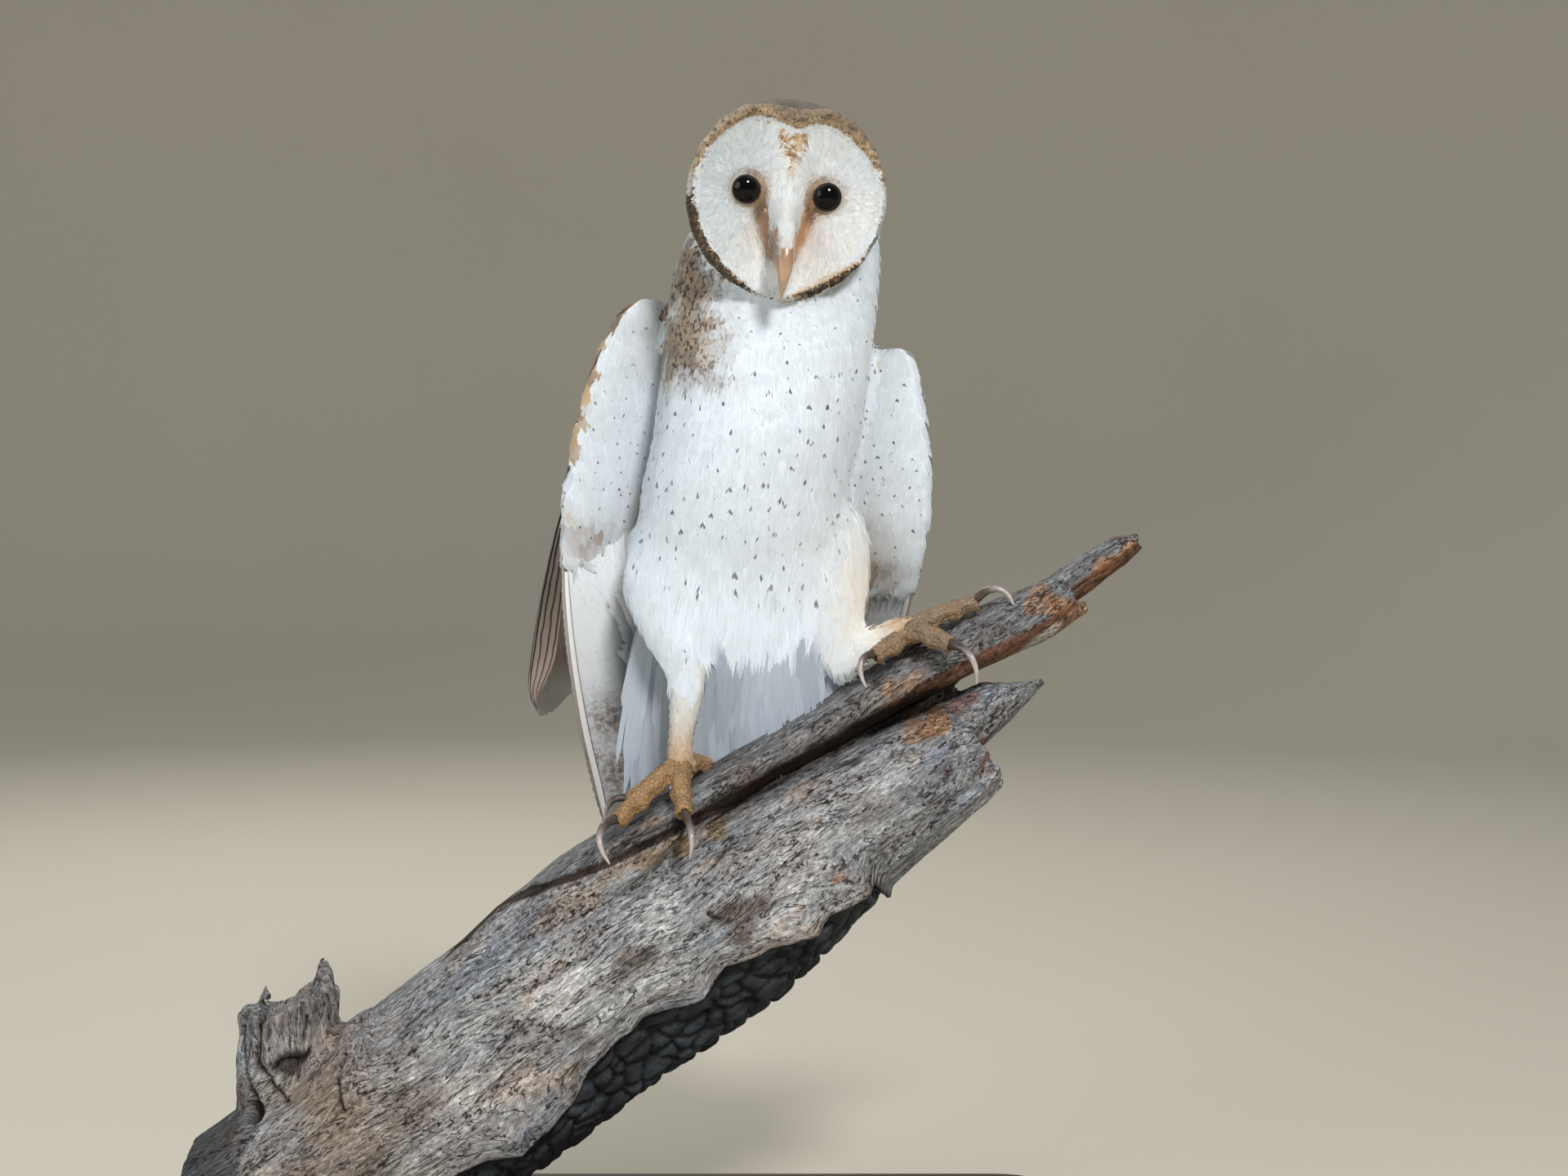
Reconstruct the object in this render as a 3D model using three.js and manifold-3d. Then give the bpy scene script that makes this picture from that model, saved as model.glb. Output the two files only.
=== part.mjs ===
// A taxidermy barn owl, life size, standing with half-open wings on a leaning weathered log.
// A flat base carries the log.
//
// Units are millimetres. The origin is the centre of the base's underside.
// +Z is up, and the owl looks along -Y.
// "Right" and "left" are the owl's own, so its right wing and leg are on the -X side.
// Feathered parts reach out to the tips of the plumage.

import * as THREE from "three";
import { mergeVertices } from "three/addons/utils/BufferGeometryUtils.js";
import Module from "manifold-3d";

const wasm = await Module();
wasm.setup();

// ---------------------------------------------------------------- driving dimensions

const GAP = 0.3; // clearance that touching pieces keep
const SLANT = 0.8; // a swollen solid's faces move by this share of its corners
const FAR = 2000; // half-spaces reach this far

const BASE = { length: 424, width: 224, thickness: 18, corner: 36, edge: 2.5 };

// The log leans in the XZ plane. Its sections are given along the lean (s) and square to it (top, bottom).
const LOG = { x: 10.3, z: 148.7, slope: THREE.MathUtils.degToRad(35.5), leftEnd: -199 };

// Facial disc: a heart whose radius is notched over the forehead and pointed under the bill.
const DISC = { radius: 42.6, notch: 7.5, notchWidth: 0.3, point: 0.9, pointWidth: 0.3, dish: 7, depth: 70 };
// The disc's centre, and the head's angles in degrees.
const HEAD = { x: 71.6, y: -49, z: 490.4, pitch: 10, roll: 5, yaw: 6 };
const EYE = { radius: 8.5, x: 17.6, y: 11.2, z: 1.9 }; // in the head's frame, each side
const DISC_CUT = 12; // the disc is parted from the skull this far behind its rim
const NECK_Z = 436; // the neck is parted from the trunk here

const THIGH_SIDES = 11;
const SHANK_SIDES = 8;
const TOE_SIDES = 6;
const CLAW_SIDES = 5;

const COLOURS = {
  white: 0xf1eee8, tawny: 0xc79a63, brown: 0x6b5a4c, horn: 0xd9b190, eye: 0x060608,
  toe: 0xb08a58, claw: 0x3a302c, wood: 0x9a948c, heartwood: 0x8a5a3c, char: 0x1c2026, base: 0x2a2522,
};

// ---------------------------------------------------------------- meshes and solids

const vec = (x, y, z) => new THREE.Vector3(x, y, z);

/** A closed mesh over rings of equal length, with a fan over each end. */
function skinOver(rings) {
  const count = rings[0].length;
  const points = rings.flat();
  const index = [];
  for (let r = 0; r + 1 < rings.length; r++) {
    for (let i = 0; i < count; i++) {
      const [a, b] = [r * count + i, r * count + ((i + 1) % count)];
      index.push(a, b, b + count, a, b + count, a + count);
    }
  }
  for (const [ring, first] of [[0, true], [rings.length - 1, false]]) {
    const centre = points.length;
    points.push(rings[ring].reduce((sum, p) => sum.add(p), vec(0, 0, 0)).divideScalar(count));
    for (let i = 0; i < count; i++) {
      const [a, b] = [ring * count + i, ring * count + ((i + 1) % count)];
      index.push(...(first ? [centre, b, a] : [centre, a, b]));
    }
  }
  return new THREE.BufferGeometry().setFromPoints(points).setIndex(index);
}

/** Six times the volume that a geometry encloses, negative where its faces point in. */
function signedVolume(geometry) {
  const p = geometry.attributes.position;
  const corner = (i) => new THREE.Vector3().fromBufferAttribute(p, geometry.index.getX(i));
  let sum = 0;
  for (let i = 0; i < geometry.index.count; i += 3) {
    sum += corner(i).dot(corner(i + 1).cross(corner(i + 2)));
  }
  return sum;
}

/** A manifold-3d solid of a closed geometry, turned face out. */
function solid(geometry) {
  const bare = new THREE.BufferGeometry().setAttribute("position", geometry.getAttribute("position"));
  const merged = mergeVertices(geometry.index ? bare.setIndex(geometry.index) : bare, 1e-3);
  const triVerts = new Uint32Array(merged.index.array);
  if (signedVolume(merged) < 0) triVerts.reverse();
  const vertProperties = new Float32Array(merged.attributes.position.array);
  return new wasm.Manifold(new wasm.Mesh({ numProp: 3, vertProperties, triVerts }));
}

/** A solid of a geometry pushed out along its normals, so that what it cuts keeps clear of it. */
function swollen(geometry) {
  const smoothed = geometry.clone();
  smoothed.computeVertexNormals();
  const [p, n] = [smoothed.attributes.position, smoothed.attributes.normal];
  const reach = (Math.sign(signedVolume(geometry)) * GAP) / SLANT;
  for (let i = 0; i < p.count; i++) {
    const [x, y, z] = [n.getX(i), n.getY(i), n.getZ(i)];
    p.setXYZ(i, p.getX(i) + reach * x, p.getY(i) + reach * y, p.getZ(i) + reach * z);
  }
  return solid(smoothed);
}

/** The largest body of a solid: a cut can leave slivers beside it. */
function largest(cut) {
  return cut.decompose().reduce((best, body) => (body.volume() > best.volume() ? body : best));
}

const subtract = (from, ...cutters) =>
  largest(cutters.reduce((left, cutter) => left.subtract(cutter), from));
const union = (first, ...others) => others.reduce((sum, other) => sum.add(other), first);

/** The half-space behind a point, on the side that the normal points away from. */
function halfSpace(point, normal) {
  const box = new THREE.BoxGeometry(2 * FAR, 2 * FAR, FAR).translate(0, 0, -FAR / 2);
  const turn = new THREE.Quaternion().setFromUnitVectors(vec(0, 0, 1), normal.clone().normalize());
  return solid(box.applyQuaternion(turn).translate(point.x, point.y, point.z));
}

/** [the part of a solid behind a plane, the part ahead of it], with the gap between them. */
function split(whole, point, normal) {
  const shift = normal.clone().normalize().multiplyScalar(GAP / 2);
  const behind = halfSpace(point.clone().sub(shift), normal);
  const ahead = halfSpace(point.clone().add(shift), normal.clone().negate());
  return [largest(whole.intersect(behind)), largest(whole.intersect(ahead))];
}

// ---------------------------------------------------------------- smooth lofts

/** count rows along a table of rows of numbers, as a Catmull-Rom curve through them. */
function smooth(rows, count) {
  const last = rows.length - 1;
  const row = (i) => rows[Math.min(Math.max(i, 0), last)];
  return Array.from({ length: count }, (_, n) => {
    const at = (n / (count - 1)) * last;
    const i = Math.min(Math.floor(at), last - 1);
    const t = at - i;
    return row(i).map((b, k) => {
      const [a, c, d] = [row(i - 1)[k], row(i + 1)[k], row(i + 2)[k]];
      return b + 0.5 * t * (c - a + t * (2 * a - 5 * b + 4 * c - d + t * (3 * (b - c) + d - a)));
    });
  });
}

/** A ring of points round a centre: half-sizes along +a, +b and -b, and how square its corners are. */
function oval(centre, a, b, halfA, overB, underB, sides, power = 2) {
  return Array.from({ length: sides }, (_, i) => {
    const angle = (2 * Math.PI * i) / sides;
    const [c, s] = [Math.cos(angle), Math.sin(angle)];
    const [u, v] = [c, s].map((x) => Math.sign(x) * Math.abs(x) ** (2 / power));
    return centre.clone().addScaledVector(a, u * halfA).addScaledVector(b, v * (s > 0 ? overB : underB));
  });
}

/** A body of level slices. Rows are [z, centre x, centre y, half width, depth in front, depth behind]. */
function levelBody(rows, steps, sides) {
  return skinOver(smooth(rows, steps).map(([z, x, y, half, front, back]) =>
    oval(vec(x, y, z), vec(1, 0, 0), vec(0, 1, 0), half, back, front, sides, 2.1)));
}

/** A round limb along a curve through points. Rows are [x, y, z, radius]. */
function limb(rows, steps, sides) {
  const curve = new THREE.CatmullRomCurve3(rows.map(([x, y, z]) => vec(x, y, z)), false, "centripetal");
  const frames = curve.computeFrenetFrames(steps - 1);
  const radii = smooth(rows.map((row) => [row[3]]), steps);
  return skinOver(radii.map(([radius], i) => {
    const centre = curve.getPointAt(i / (steps - 1));
    return oval(centre, frames.normals[i], frames.binormals[i], radius, radius, radius, sides);
  }));
}

/**
 * A curved sheet of feathers hanging from level slices.
 * Rows are [z, half thickness, then x, y of the slice's points from its leading to its trailing edge].
 */
function sheet(rows, steps, across) {
  const rings = smooth(rows, steps).map(([z, half, ...flat]) => {
    const pairs = Array.from({ length: flat.length / 2 }, (_, i) => flat.slice(2 * i, 2 * i + 2));
    const middle = smooth(pairs, across);
    const offset = (side) => middle.map(([x, y], i) => {
      const [before, after] = [middle[Math.max(i - 1, 0)], middle[Math.min(i + 1, across - 1)]];
      const [dx, dy] = [after[0] - before[0], after[1] - before[1]];
      const thick = (0.35 + 0.65 * Math.sin((Math.PI * i) / (across - 1))) * half;
      const length = Math.hypot(dx, dy);
      return vec(x - (side * thick * dy) / length, y + (side * thick * dx) / length, z);
    });
    return [...offset(1), ...offset(-1).reverse()];
  });
  return skinOver(rings);
}

// ---------------------------------------------------------------- log and base

const ALONG = vec(Math.cos(LOG.slope), 0, Math.sin(LOG.slope));
const SQUARE = vec(-Math.sin(LOG.slope), 0, Math.cos(LOG.slope));

/** The point at s along the log and t square to it, y off its middle plane. */
const onLog = (s, t, y = 0) => vec(LOG.x, y, LOG.z).addScaledVector(ALONG, s).addScaledVector(SQUARE, t);

/** A length of wood. Rows are [s, top, bottom, half depth]. */
function timber(rows, steps, sides, power = 2.3) {
  return skinOver(smooth(rows, steps).map(([s, top, bottom, half]) => {
    const height = (top - bottom) / 2;
    return oval(onLog(s, (top + bottom) / 2), vec(0, 1, 0), SQUARE, half, height, height, sides, power);
  }));
}

const TRUNK_ROWS = [
  [-310, 56, -50, 46], [-230, 57, -50, 47], [-180, 57, -49, 48], [-128, 58, -47, 48], [-85, 60, -48, 47],
  [-42, 60, -46, 46], [-10, 55, -46, 45], [30, 47, -47, 45], [63, 41, -43, 43], [94, 35, -37, 41],
  [135, 30, -29, 38], [160, 25, -28, 35], [176, 21, -25, 30],
];
const SPAR_ROWS = [
  [-66, 60, 26, 26], [-38, 63.5, 24, 36], [10, 64, 26, 37], [50, 59.5, 38, 34], [92, 57, 38, 31],
  [130, 54, 32, 28], [170, 51.6, 28, 25], [205, 49, 23, 22], [232, 43.6, 17, 19], [252, 39, 18, 15],
];
const SPUR_ROWS = [[232, 40, 25, 8], [256, 40, 24, 9], [278, 39, 24, 8], [291, 34, 26, 5]];
const SPIKE_ROWS = [[150, 24, -8, 22], [184, 23, -6, 15], [206, 12, -3, 7], [219, 4.5, 1, 2]];
const CHAR_FACE = { t: -20, y: -40, tilt: THREE.MathUtils.degToRad(16), rightEnd: 106, inset: 6 };
const TRUNK_STEPS = 16;
const TRUNK_SIDES = 15;
const STUB = { x: -156, z: 84, radius: 22, height: 46 };

/** Everything under the sloping face between sound wood and charred wood, moved up by lift. */
function underCharFace(lift) {
  const { tilt, t, y, rightEnd } = CHAR_FACE;
  const upward = SQUARE.clone().multiplyScalar(Math.cos(tilt));
  const normal = upward.addScaledVector(vec(0, -1, 0), Math.sin(tilt));
  return halfSpace(onLog(0, t, y).addScaledVector(normal, lift), normal)
    .intersect(halfSpace(onLog(rightEnd + lift, 0), ALONG));
}

function makeLog() {
  const room = halfSpace(vec(0, 0, BASE.thickness + GAP), vec(0, 0, -1))
    .intersect(halfSpace(vec(LOG.leftEnd, 0, 0), vec(-1, 0, 0)));
  const whole = timber(TRUNK_ROWS, TRUNK_STEPS, TRUNK_SIDES);
  const spar = timber(SPAR_ROWS, 12, 11);
  const spur = timber(SPUR_ROWS, 5, 8);
  const notch = solid(new THREE.IcosahedronGeometry(9, 1).translate(...onLog(184, -15, 4).toArray()));
  const trunk = solid(whole).subtract(underCharFace(GAP)).add(solid(timber(SPIKE_ROWS, 5, 8)))
    .subtract(notch).intersect(room);
  const narrow = TRUNK_ROWS.map(([s, top, bottom, half]) => [s, top, bottom + 1, half - CHAR_FACE.inset]);
  const char = solid(timber(narrow, TRUNK_STEPS, TRUNK_SIDES)).intersect(underCharFace(0)).intersect(room);
  const spike = (x, y, height, radius) => {
    const cone = new THREE.ConeGeometry(radius, height, 7).rotateX(Math.PI / 2);
    return solid(cone.translate(x, y, STUB.z + STUB.height + height / 3));
  };
  const barrel = new THREE.CylinderGeometry(STUB.radius, 1.25 * STUB.radius, 2 * STUB.height, 10)
    .rotateX(Math.PI / 2).translate(STUB.x, 0, STUB.z);
  const pit = new THREE.ConeGeometry(11, 22, 9).rotateX(-Math.PI / 2).translate(STUB.x - 4, 2, STUB.z + 40);
  const spiked = union(solid(barrel), spike(STUB.x + 16, -3, 30, 8), spike(STUB.x - 12, 4, 14, 6));
  const stub = spiked.subtract(solid(pit));
  return {
    trunk: largest(trunk), char: largest(char), stub: subtract(stub, swollen(whole)),
    spar: subtract(union(solid(spar), solid(spur)), swollen(whole)),
    swollen: union(swollen(whole), swollen(spar)),
  };
}

function makeBase() {
  const { length, width, thickness, corner, edge } = BASE;
  const [x, y] = [length / 2 - edge, width / 2 - edge];
  const r = corner - edge;
  const outline = new THREE.Shape()
    .moveTo(-x + r, -y).lineTo(x - r, -y).absarc(x - r, -y + r, r, -Math.PI / 2, 0)
    .lineTo(x, y - r).absarc(x - r, y - r, r, 0, Math.PI / 2)
    .lineTo(-x + r, y).absarc(-x + r, y - r, r, Math.PI / 2, Math.PI)
    .lineTo(-x, -y + r).absarc(-x + r, -y + r, r, Math.PI, 1.5 * Math.PI);
  const depth = thickness - 2 * edge;
  const bevel = { bevelThickness: edge, bevelSize: edge, bevelSegments: 1 };
  const slab = new THREE.ExtrudeGeometry(outline, { depth, curveSegments: 4, ...bevel });
  return solid(slab.translate(0, 0, edge));
}

// ---------------------------------------------------------------- head

const HEAD_MATRIX = new THREE.Matrix4()
  .makeTranslation(HEAD.x, HEAD.y, HEAD.z)
  .multiply(new THREE.Matrix4().makeRotationZ(THREE.MathUtils.degToRad(HEAD.yaw)))
  .multiply(new THREE.Matrix4().makeRotationX(THREE.MathUtils.degToRad(HEAD.pitch)))
  .multiply(new THREE.Matrix4().makeRotationY(THREE.MathUtils.degToRad(HEAD.roll)));
const fromHead = (x, y, z) => vec(x, y, z).applyMatrix4(HEAD_MATRIX);

const bump = (x, width) => Math.exp(-((x / width) ** 2));

/** The heart's radius at an angle from the owl's left, counter-clockwise as seen from the front. */
function heart(angle) {
  return DISC.radius - DISC.notch * bump(angle - Math.PI / 2, DISC.notchWidth)
    + DISC.point * bump(Math.abs(angle - 1.5 * Math.PI), DISC.pointWidth);
}

/** How far the feathered ridge between the eyes stands out at a height, and how wide it is. */
function ridge(x, z) {
  const height = 14 * bump(z + 16, 26) + 3 * bump(z - 18, 16);
  return height * bump(x, 4.5 + 0.13 * Math.max(z + 20, 0));
}

function makeHead() {
  const sides = 21;
  const angles = Array.from({ length: sides }, (_, i) => (2 * Math.PI * i) / sides);
  const faceRing = (share) => angles.map((angle) => {
    const radius = share * heart(angle);
    const [x, z] = [radius * Math.cos(angle), radius * Math.sin(angle)];
    return fromHead(x, DISC.dish * (1 - share ** 2) - ridge(x, z), z);
  });
  // Behind the rim the heart rounds off into the crown and nape.
  // Rows are [y, share of the heart, half width, height].
  const skull = smooth([
    [3, 0.98, 41, 40.5], [10, 0.7, 40, 41.5], [22, 0.25, 38.5, 42.5], [36, 0, 36, 40.5],
    [52, 0, 29, 33], [63, 0, 17, 20], [DISC.depth, 0, 5, 6],
  ], 8);
  const skullRing = ([y, share, width, height]) => angles.map((angle) => {
    const round = (width * height) / Math.hypot(height * Math.cos(angle), width * Math.sin(angle));
    const radius = share * heart(angle) + (1 - share) * round;
    return fromHead(radius * Math.cos(angle), y, radius * Math.sin(angle));
  });
  const rings = [...[0.16, 0.36, 0.58, 0.8, 1].map(faceRing), ...skull.map(skullRing)];
  const whole = skinOver(rings);
  const front = fromHead(0, DISC_CUT, 0);
  const [disc, skullPart] = split(solid(whole), front, fromHead(0, 0, 0).sub(fromHead(0, -1, 0)));
  return { disc, skull: skullPart, whole };
}

function eyeball(side, radius = EYE.radius) {
  return solid(new THREE.IcosahedronGeometry(radius, 2)
    .translate(side * EYE.x, EYE.y, EYE.z).applyMatrix4(HEAD_MATRIX));
}

/** A half of the bill, along its curve. Rows are [y, z, radius] in the head's frame. */
function mandible(rows) {
  return limb(rows.map(([y, z, radius]) => [...fromHead(0, y, z).toArray(), radius]), 8, 8);
}
const UPPER_BILL = [
  [-4, -13, 4], [-12.5, -20, 3.6], [-16.5, -28, 2.9], [-16, -35, 1.9], [-12.5, -41.5, 0.5],
];
const LOWER_BILL = [[0, -23, 3], [-6.5, -28, 2.8], [-11, -33.5, 1.8], [-11.5, -37.5, 0.6]];

// ---------------------------------------------------------------- trunk, tail and wings

const BODY_ROWS = [
  [289, 50, 12, 14, 12, 14], [296, 49, 10, 34, 26, 30], [306, 48, 8, 42, 34, 36], [322, 49, 5, 46, 41, 41],
  [345, 51, 2, 48, 46, 43], [368, 53, 0, 47, 48, 45],
  [390, 58, -1, 46.5, 48, 45], [412, 61, -2, 47, 43.5, 44],
  [436, 63.5, -3, 47.3, 37, 41], [460, 66.5, -6, 46.5, 28, 38],
  [478, 69.5, -10, 43, 22, 36], [496, 71, -12, 34, 16, 30],
];

const TAIL_ROWS = [
  [326, 4, 28, 26, 44, 33, 60, 33, 76, 26], [300, 4, 24, 40, 43, 47, 62, 47, 82, 40],
  [265, 3, 23, 53, 45, 60, 66, 60, 89, 53], [232, 2.4, 25, 64, 47, 70, 67, 70, 88, 64],
  [216, 1.8, 31, 70, 49, 74, 66, 74, 82, 70], [209, 1, 41, 73, 51, 76, 63, 76, 72, 73],
];

// Right wing. The hand's underside faces forward, and the folded secondaries bulge out behind it.
const RIGHT_WING = {
  hand: [
    [452, 3, 5, -1, 9, 3, 15, 8], [444, 7, -4, -2, 8, 8, 24, 22], [428, 9, -12, 0, 5, 16, 26, 33],
    [402, 9.5, -21, 0, -2, 20, 24, 41], [372, 9, -27, 0, -8, 22, 16, 45], [348, 7, -30, 0, -12, 22, 10, 45],
    [330, 4, -31, 0, -14, 22, 6, 43],
  ],
  primaries: [
    [352, 3, -30, 1, -12, 18, 12, 36], [328, 3.2, -31, 1, -11, 15, 13, 31],
    [305, 3, -31, 4, -9, 18, 16, 34],
    [279, 2.6, -30, 12, -7, 24, 17, 38], [252, 2.2, -27.5, 24, -7, 33, 14, 42],
    [228, 1.6, -23, 37, -8, 42, 8, 47],
    [212, 1.2, -19, 46, -10, 48, -1, 51], [204, 0.8, -17, 50, -13, 51, -9, 52],
  ],
  forearm: [[6, 10, 444, 7], [-5, 26, 428, 11], [-9, 44, 404, 13], [-7, 58, 380, 14], [4, 64, 362, 11]],
  humerus: [[34, 38, 424, 10], [20, 52, 404, 13], [8, 61, 384, 14], [2, 64, 366, 11]],
  secondaries: [
    [408, 5, -15, 12, -15, 32, -8, 54, 16, 66], [387, 6, -20, 12, -22, 32, -13, 60, 16, 72],
    [349, 5, -27, 15, -35, 36, -24, 66, 12, 80], [318, 4.4, -31, 19, -43, 42, -33, 72, 5, 86],
    [287, 3.4, -36, 29, -49, 49, -41, 74, -8, 88], [268, 2.4, -44, 42, -51, 53, -44, 73, -22, 86],
    [256, 1, -43, 51, -46, 57, -41, 68, -32, 76],
  ],
};
// Left wing. It is turned a little further forward, so the secondaries stay hidden from the front.
const LEFT_WING = {
  hand: [
    [430, 3, 124, -2, 118, 1, 110, 5], [424, 7, 128, -1, 118, 8, 103, 15],
    [411, 9, 131, 1, 114, 12, 94, 24],
    [384, 9.5, 135.5, 2, 112, 15, 89, 31], [358, 9, 136.5, 5, 112, 18, 87, 35],
    [336, 7, 133.5, 10, 111, 23, 88, 38],
    [316, 4, 129.5, 18, 110, 30, 90, 42],
  ],
  primaries: [
    [340, 3, 133, 11, 112, 22, 88, 34], [318, 3.2, 130, 18, 109, 29, 86, 40],
    [296, 3, 126, 31, 105, 39, 84, 47],
    [270, 2.6, 120, 45, 101, 50, 82, 54], [244, 2.2, 112, 53, 96, 56, 80, 59],
    [224, 1.6, 103, 59, 92, 61, 81, 63],
    [212, 0.8, 96, 62, 91, 63, 86, 64],
  ],
  forearm: [
    [117, 10, 424, 7], [120, 26, 406, 11], [118, 44, 384, 13], [110, 58, 364, 14], [98, 64, 350, 11],
  ],
  humerus: [[88, 38, 420, 10], [98, 52, 400, 13], [102, 61, 376, 14], [98, 64, 354, 11]],
  secondaries: [
    [388, 5, 124, 16, 122, 34, 112, 56, 88, 68], [366, 6, 126, 18, 124, 36, 113, 60, 86, 74],
    [330, 5, 125, 25, 125, 43, 115, 66, 86, 82], [300, 4.4, 121, 40, 122, 53, 113, 72, 88, 86],
    [272, 3.4, 117, 53, 117, 63, 109, 76, 90, 87], [252, 2.4, 113, 61, 111, 70, 104, 78, 92, 86],
    [240, 1, 108, 68, 106, 72, 102, 77, 97, 82],
  ],
};

// ---------------------------------------------------------------- legs and feet

// Rows are [x, y, z, radius].
const RIGHT_LEG = {
  thigh: [
    [30, -2, 350, 22], [18, -8, 326, 24], [17, -14, 310, 19.5],
    [24, -17, 297, 13.5], [27, -18, 287, 9.5],
  ],
  shank: [
    [27, -17, 296, 7.5], [27.3, -18, 284, 8.2], [26, -17, 270, 6.8],
    [24, -16, 256, 5.4], [23.6, -15, 243, 6.2],
  ],
};
const LEFT_LEG = {
  thigh: [
    [84, -2, 350, 22], [92, -7, 327, 20], [93, -11, 308, 15.5],
    [93, -13, 294, 12], [94, -14, 285, 8],
  ],
  shank: [
    [91, -14, 288, 6.5], [99, -15, 291, 8.2], [109, -16, 296, 7.6],
    [118, -17, 301, 6.4], [125, -17, 304, 6.2],
  ],
};
// Toes run from the ball of the foot to the claw's root, claws from there to their tips.
const RIGHT_FOOT = {
  hind: {
    toe: [[24, -13, 242, 5.4], [31, -6, 241, 5], [36, 3, 238.5, 3.8]],
    claw: [[35, 1, 239.5, 2.2], [38, 10, 238, 1.7], [36, 16, 231, 0.5]],
  },
  inner: {
    toe: [[24, -16, 242, 5], [24, -27, 233, 4.7], [26, -36, 223, 4]],
    claw: [[25.5, -35, 224.5, 2.5], [29, -45, 219, 2], [30, -50, 211, 1.3], [29, -49, 205, 0.4]],
  },
  middle: {
    toe: [[22, -17, 242, 5.2], [12, -24, 234, 4.9], [3, -29, 225, 4.8], [-4, -31, 219, 4]],
    claw: [[-2, -30, 220, 2.6], [-9, -37, 219, 2.2], [-11, -44, 211, 1.5], [-6, -46.5, 202.5, 0.4]],
  },
  outer: {
    toe: [[21, -12, 241, 4.8], [10, -10, 232, 4.6], [0, -9, 225, 3.9]],
    claw: [[2, -9, 226, 2.3], [-6, -7, 226, 1.9], [-11, -3, 219.5, 1.2], [-10, 0, 213, 0.4]],
  },
};
const LEFT_FOOT = {
  hind: {
    toe: [[125, -19, 301, 5], [117, -24, 296, 5], [110.5, -27, 292, 4]],
    claw: [[112, -26, 293, 2.4], [105, -30, 292, 2], [103.5, -34, 285, 1.2], [106, -36, 279, 0.4]],
  },
  inner: {
    toe: [[126, -20, 302, 5], [135, -28, 301, 4.9], [143, -34, 297, 4.2]],
    claw: [[141.5, -33, 298, 2.6], [149, -40, 296, 2.1], [153.5, -44, 289, 1.4], [154, -43, 281, 0.4]],
  },
  middle: {
    toe: [[127, -17, 303, 5.2], [138, -16, 309, 4.8], [148, -14, 312, 4.6], [156, -13, 315, 3.8]],
    claw: [[154, -13, 314.5, 2.5], [162, -14, 321, 2.1], [169, -15, 320, 1.4], [172.5, -16, 314, 0.4]],
  },
  outer: {
    toe: [[125, -13, 302, 4.8], [132, -3, 304, 4.6], [138, 7, 303, 3.8]],
    claw: [[137, 5, 304, 2.3], [143, 13, 304, 1.9], [147, 19, 298, 1.2], [146, 21, 291, 0.4]],
  },
};

// ---------------------------------------------------------------- assembly

const object = new THREE.Group();
object.name = "barn_owl_on_log";

function add(name, body, colour, roughness) {
  const mesh = body.getMesh();
  const geometry = new THREE.BufferGeometry()
    .setAttribute("position", new THREE.BufferAttribute(new Float32Array(mesh.vertProperties), 3))
    .setIndex(new THREE.BufferAttribute(new Uint32Array(mesh.triVerts), 1));
  geometry.computeVertexNormals();
  const material = new THREE.MeshStandardMaterial({ color: colour, roughness, metalness: 0 });
  const made = new THREE.Mesh(geometry, material);
  made.name = name;
  object.add(made);
}

function addSupport(log) {
  add("stand_base", makeBase(), COLOURS.base, 0.5);
  add("log_trunk", log.trunk, COLOURS.wood, 0.9);
  add("log_char", log.char, COLOURS.char, 0.8);
  add("log_spar", log.spar, COLOURS.wood, 0.9);
  add("log_stub", log.stub, COLOURS.wood, 0.9);
}

function addHead() {
  const head = makeHead();
  const [upper, lower] = [mandible(UPPER_BILL), mandible(LOWER_BILL)];
  const sockets = union(eyeball(-1, EYE.radius + GAP), eyeball(1, EYE.radius + GAP));
  const bills = union(swollen(upper), swollen(lower));
  add("facial_disc", subtract(head.disc, sockets, bills), COLOURS.white, 0.85);
  add("head", subtract(head.skull, sockets, bills), COLOURS.tawny, 0.85);
  add("eye_right", eyeball(-1), COLOURS.eye, 0.05);
  add("eye_left", eyeball(1), COLOURS.eye, 0.05);
  add("bill_upper", solid(upper), COLOURS.horn, 0.35);
  add("bill_lower", subtract(solid(lower), swollen(upper)), COLOURS.horn, 0.35);
  return union(swollen(head.whole), bills);
}

function addWing(side, wing, keepOut) {
  const hand = sheet(wing.hand, 8, 6);
  const [forearm, humerus] = [limb(wing.forearm, 5, 8), limb(wing.humerus, 5, 8)];
  const primaries = sheet(wing.primaries, 8, 4);
  const secondaries = sheet(wing.secondaries, 7, 7);
  const arm = union(swollen(forearm), swollen(humerus));
  add(`wing_${side}_hand`, subtract(solid(hand), keepOut), COLOURS.white, 0.85);
  const folded = union(solid(forearm), solid(humerus));
  add(`wing_${side}_arm`, subtract(folded, swollen(hand), keepOut), COLOURS.tawny, 0.85);
  const hanging = subtract(solid(primaries), swollen(hand), arm, keepOut);
  add(`wing_${side}_primaries`, hanging, COLOURS.white, 0.7);
  const behind = subtract(solid(secondaries), swollen(hand), arm, swollen(primaries), keepOut);
  add(`wing_${side}_secondaries`, behind, COLOURS.brown, 0.7);
}

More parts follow.
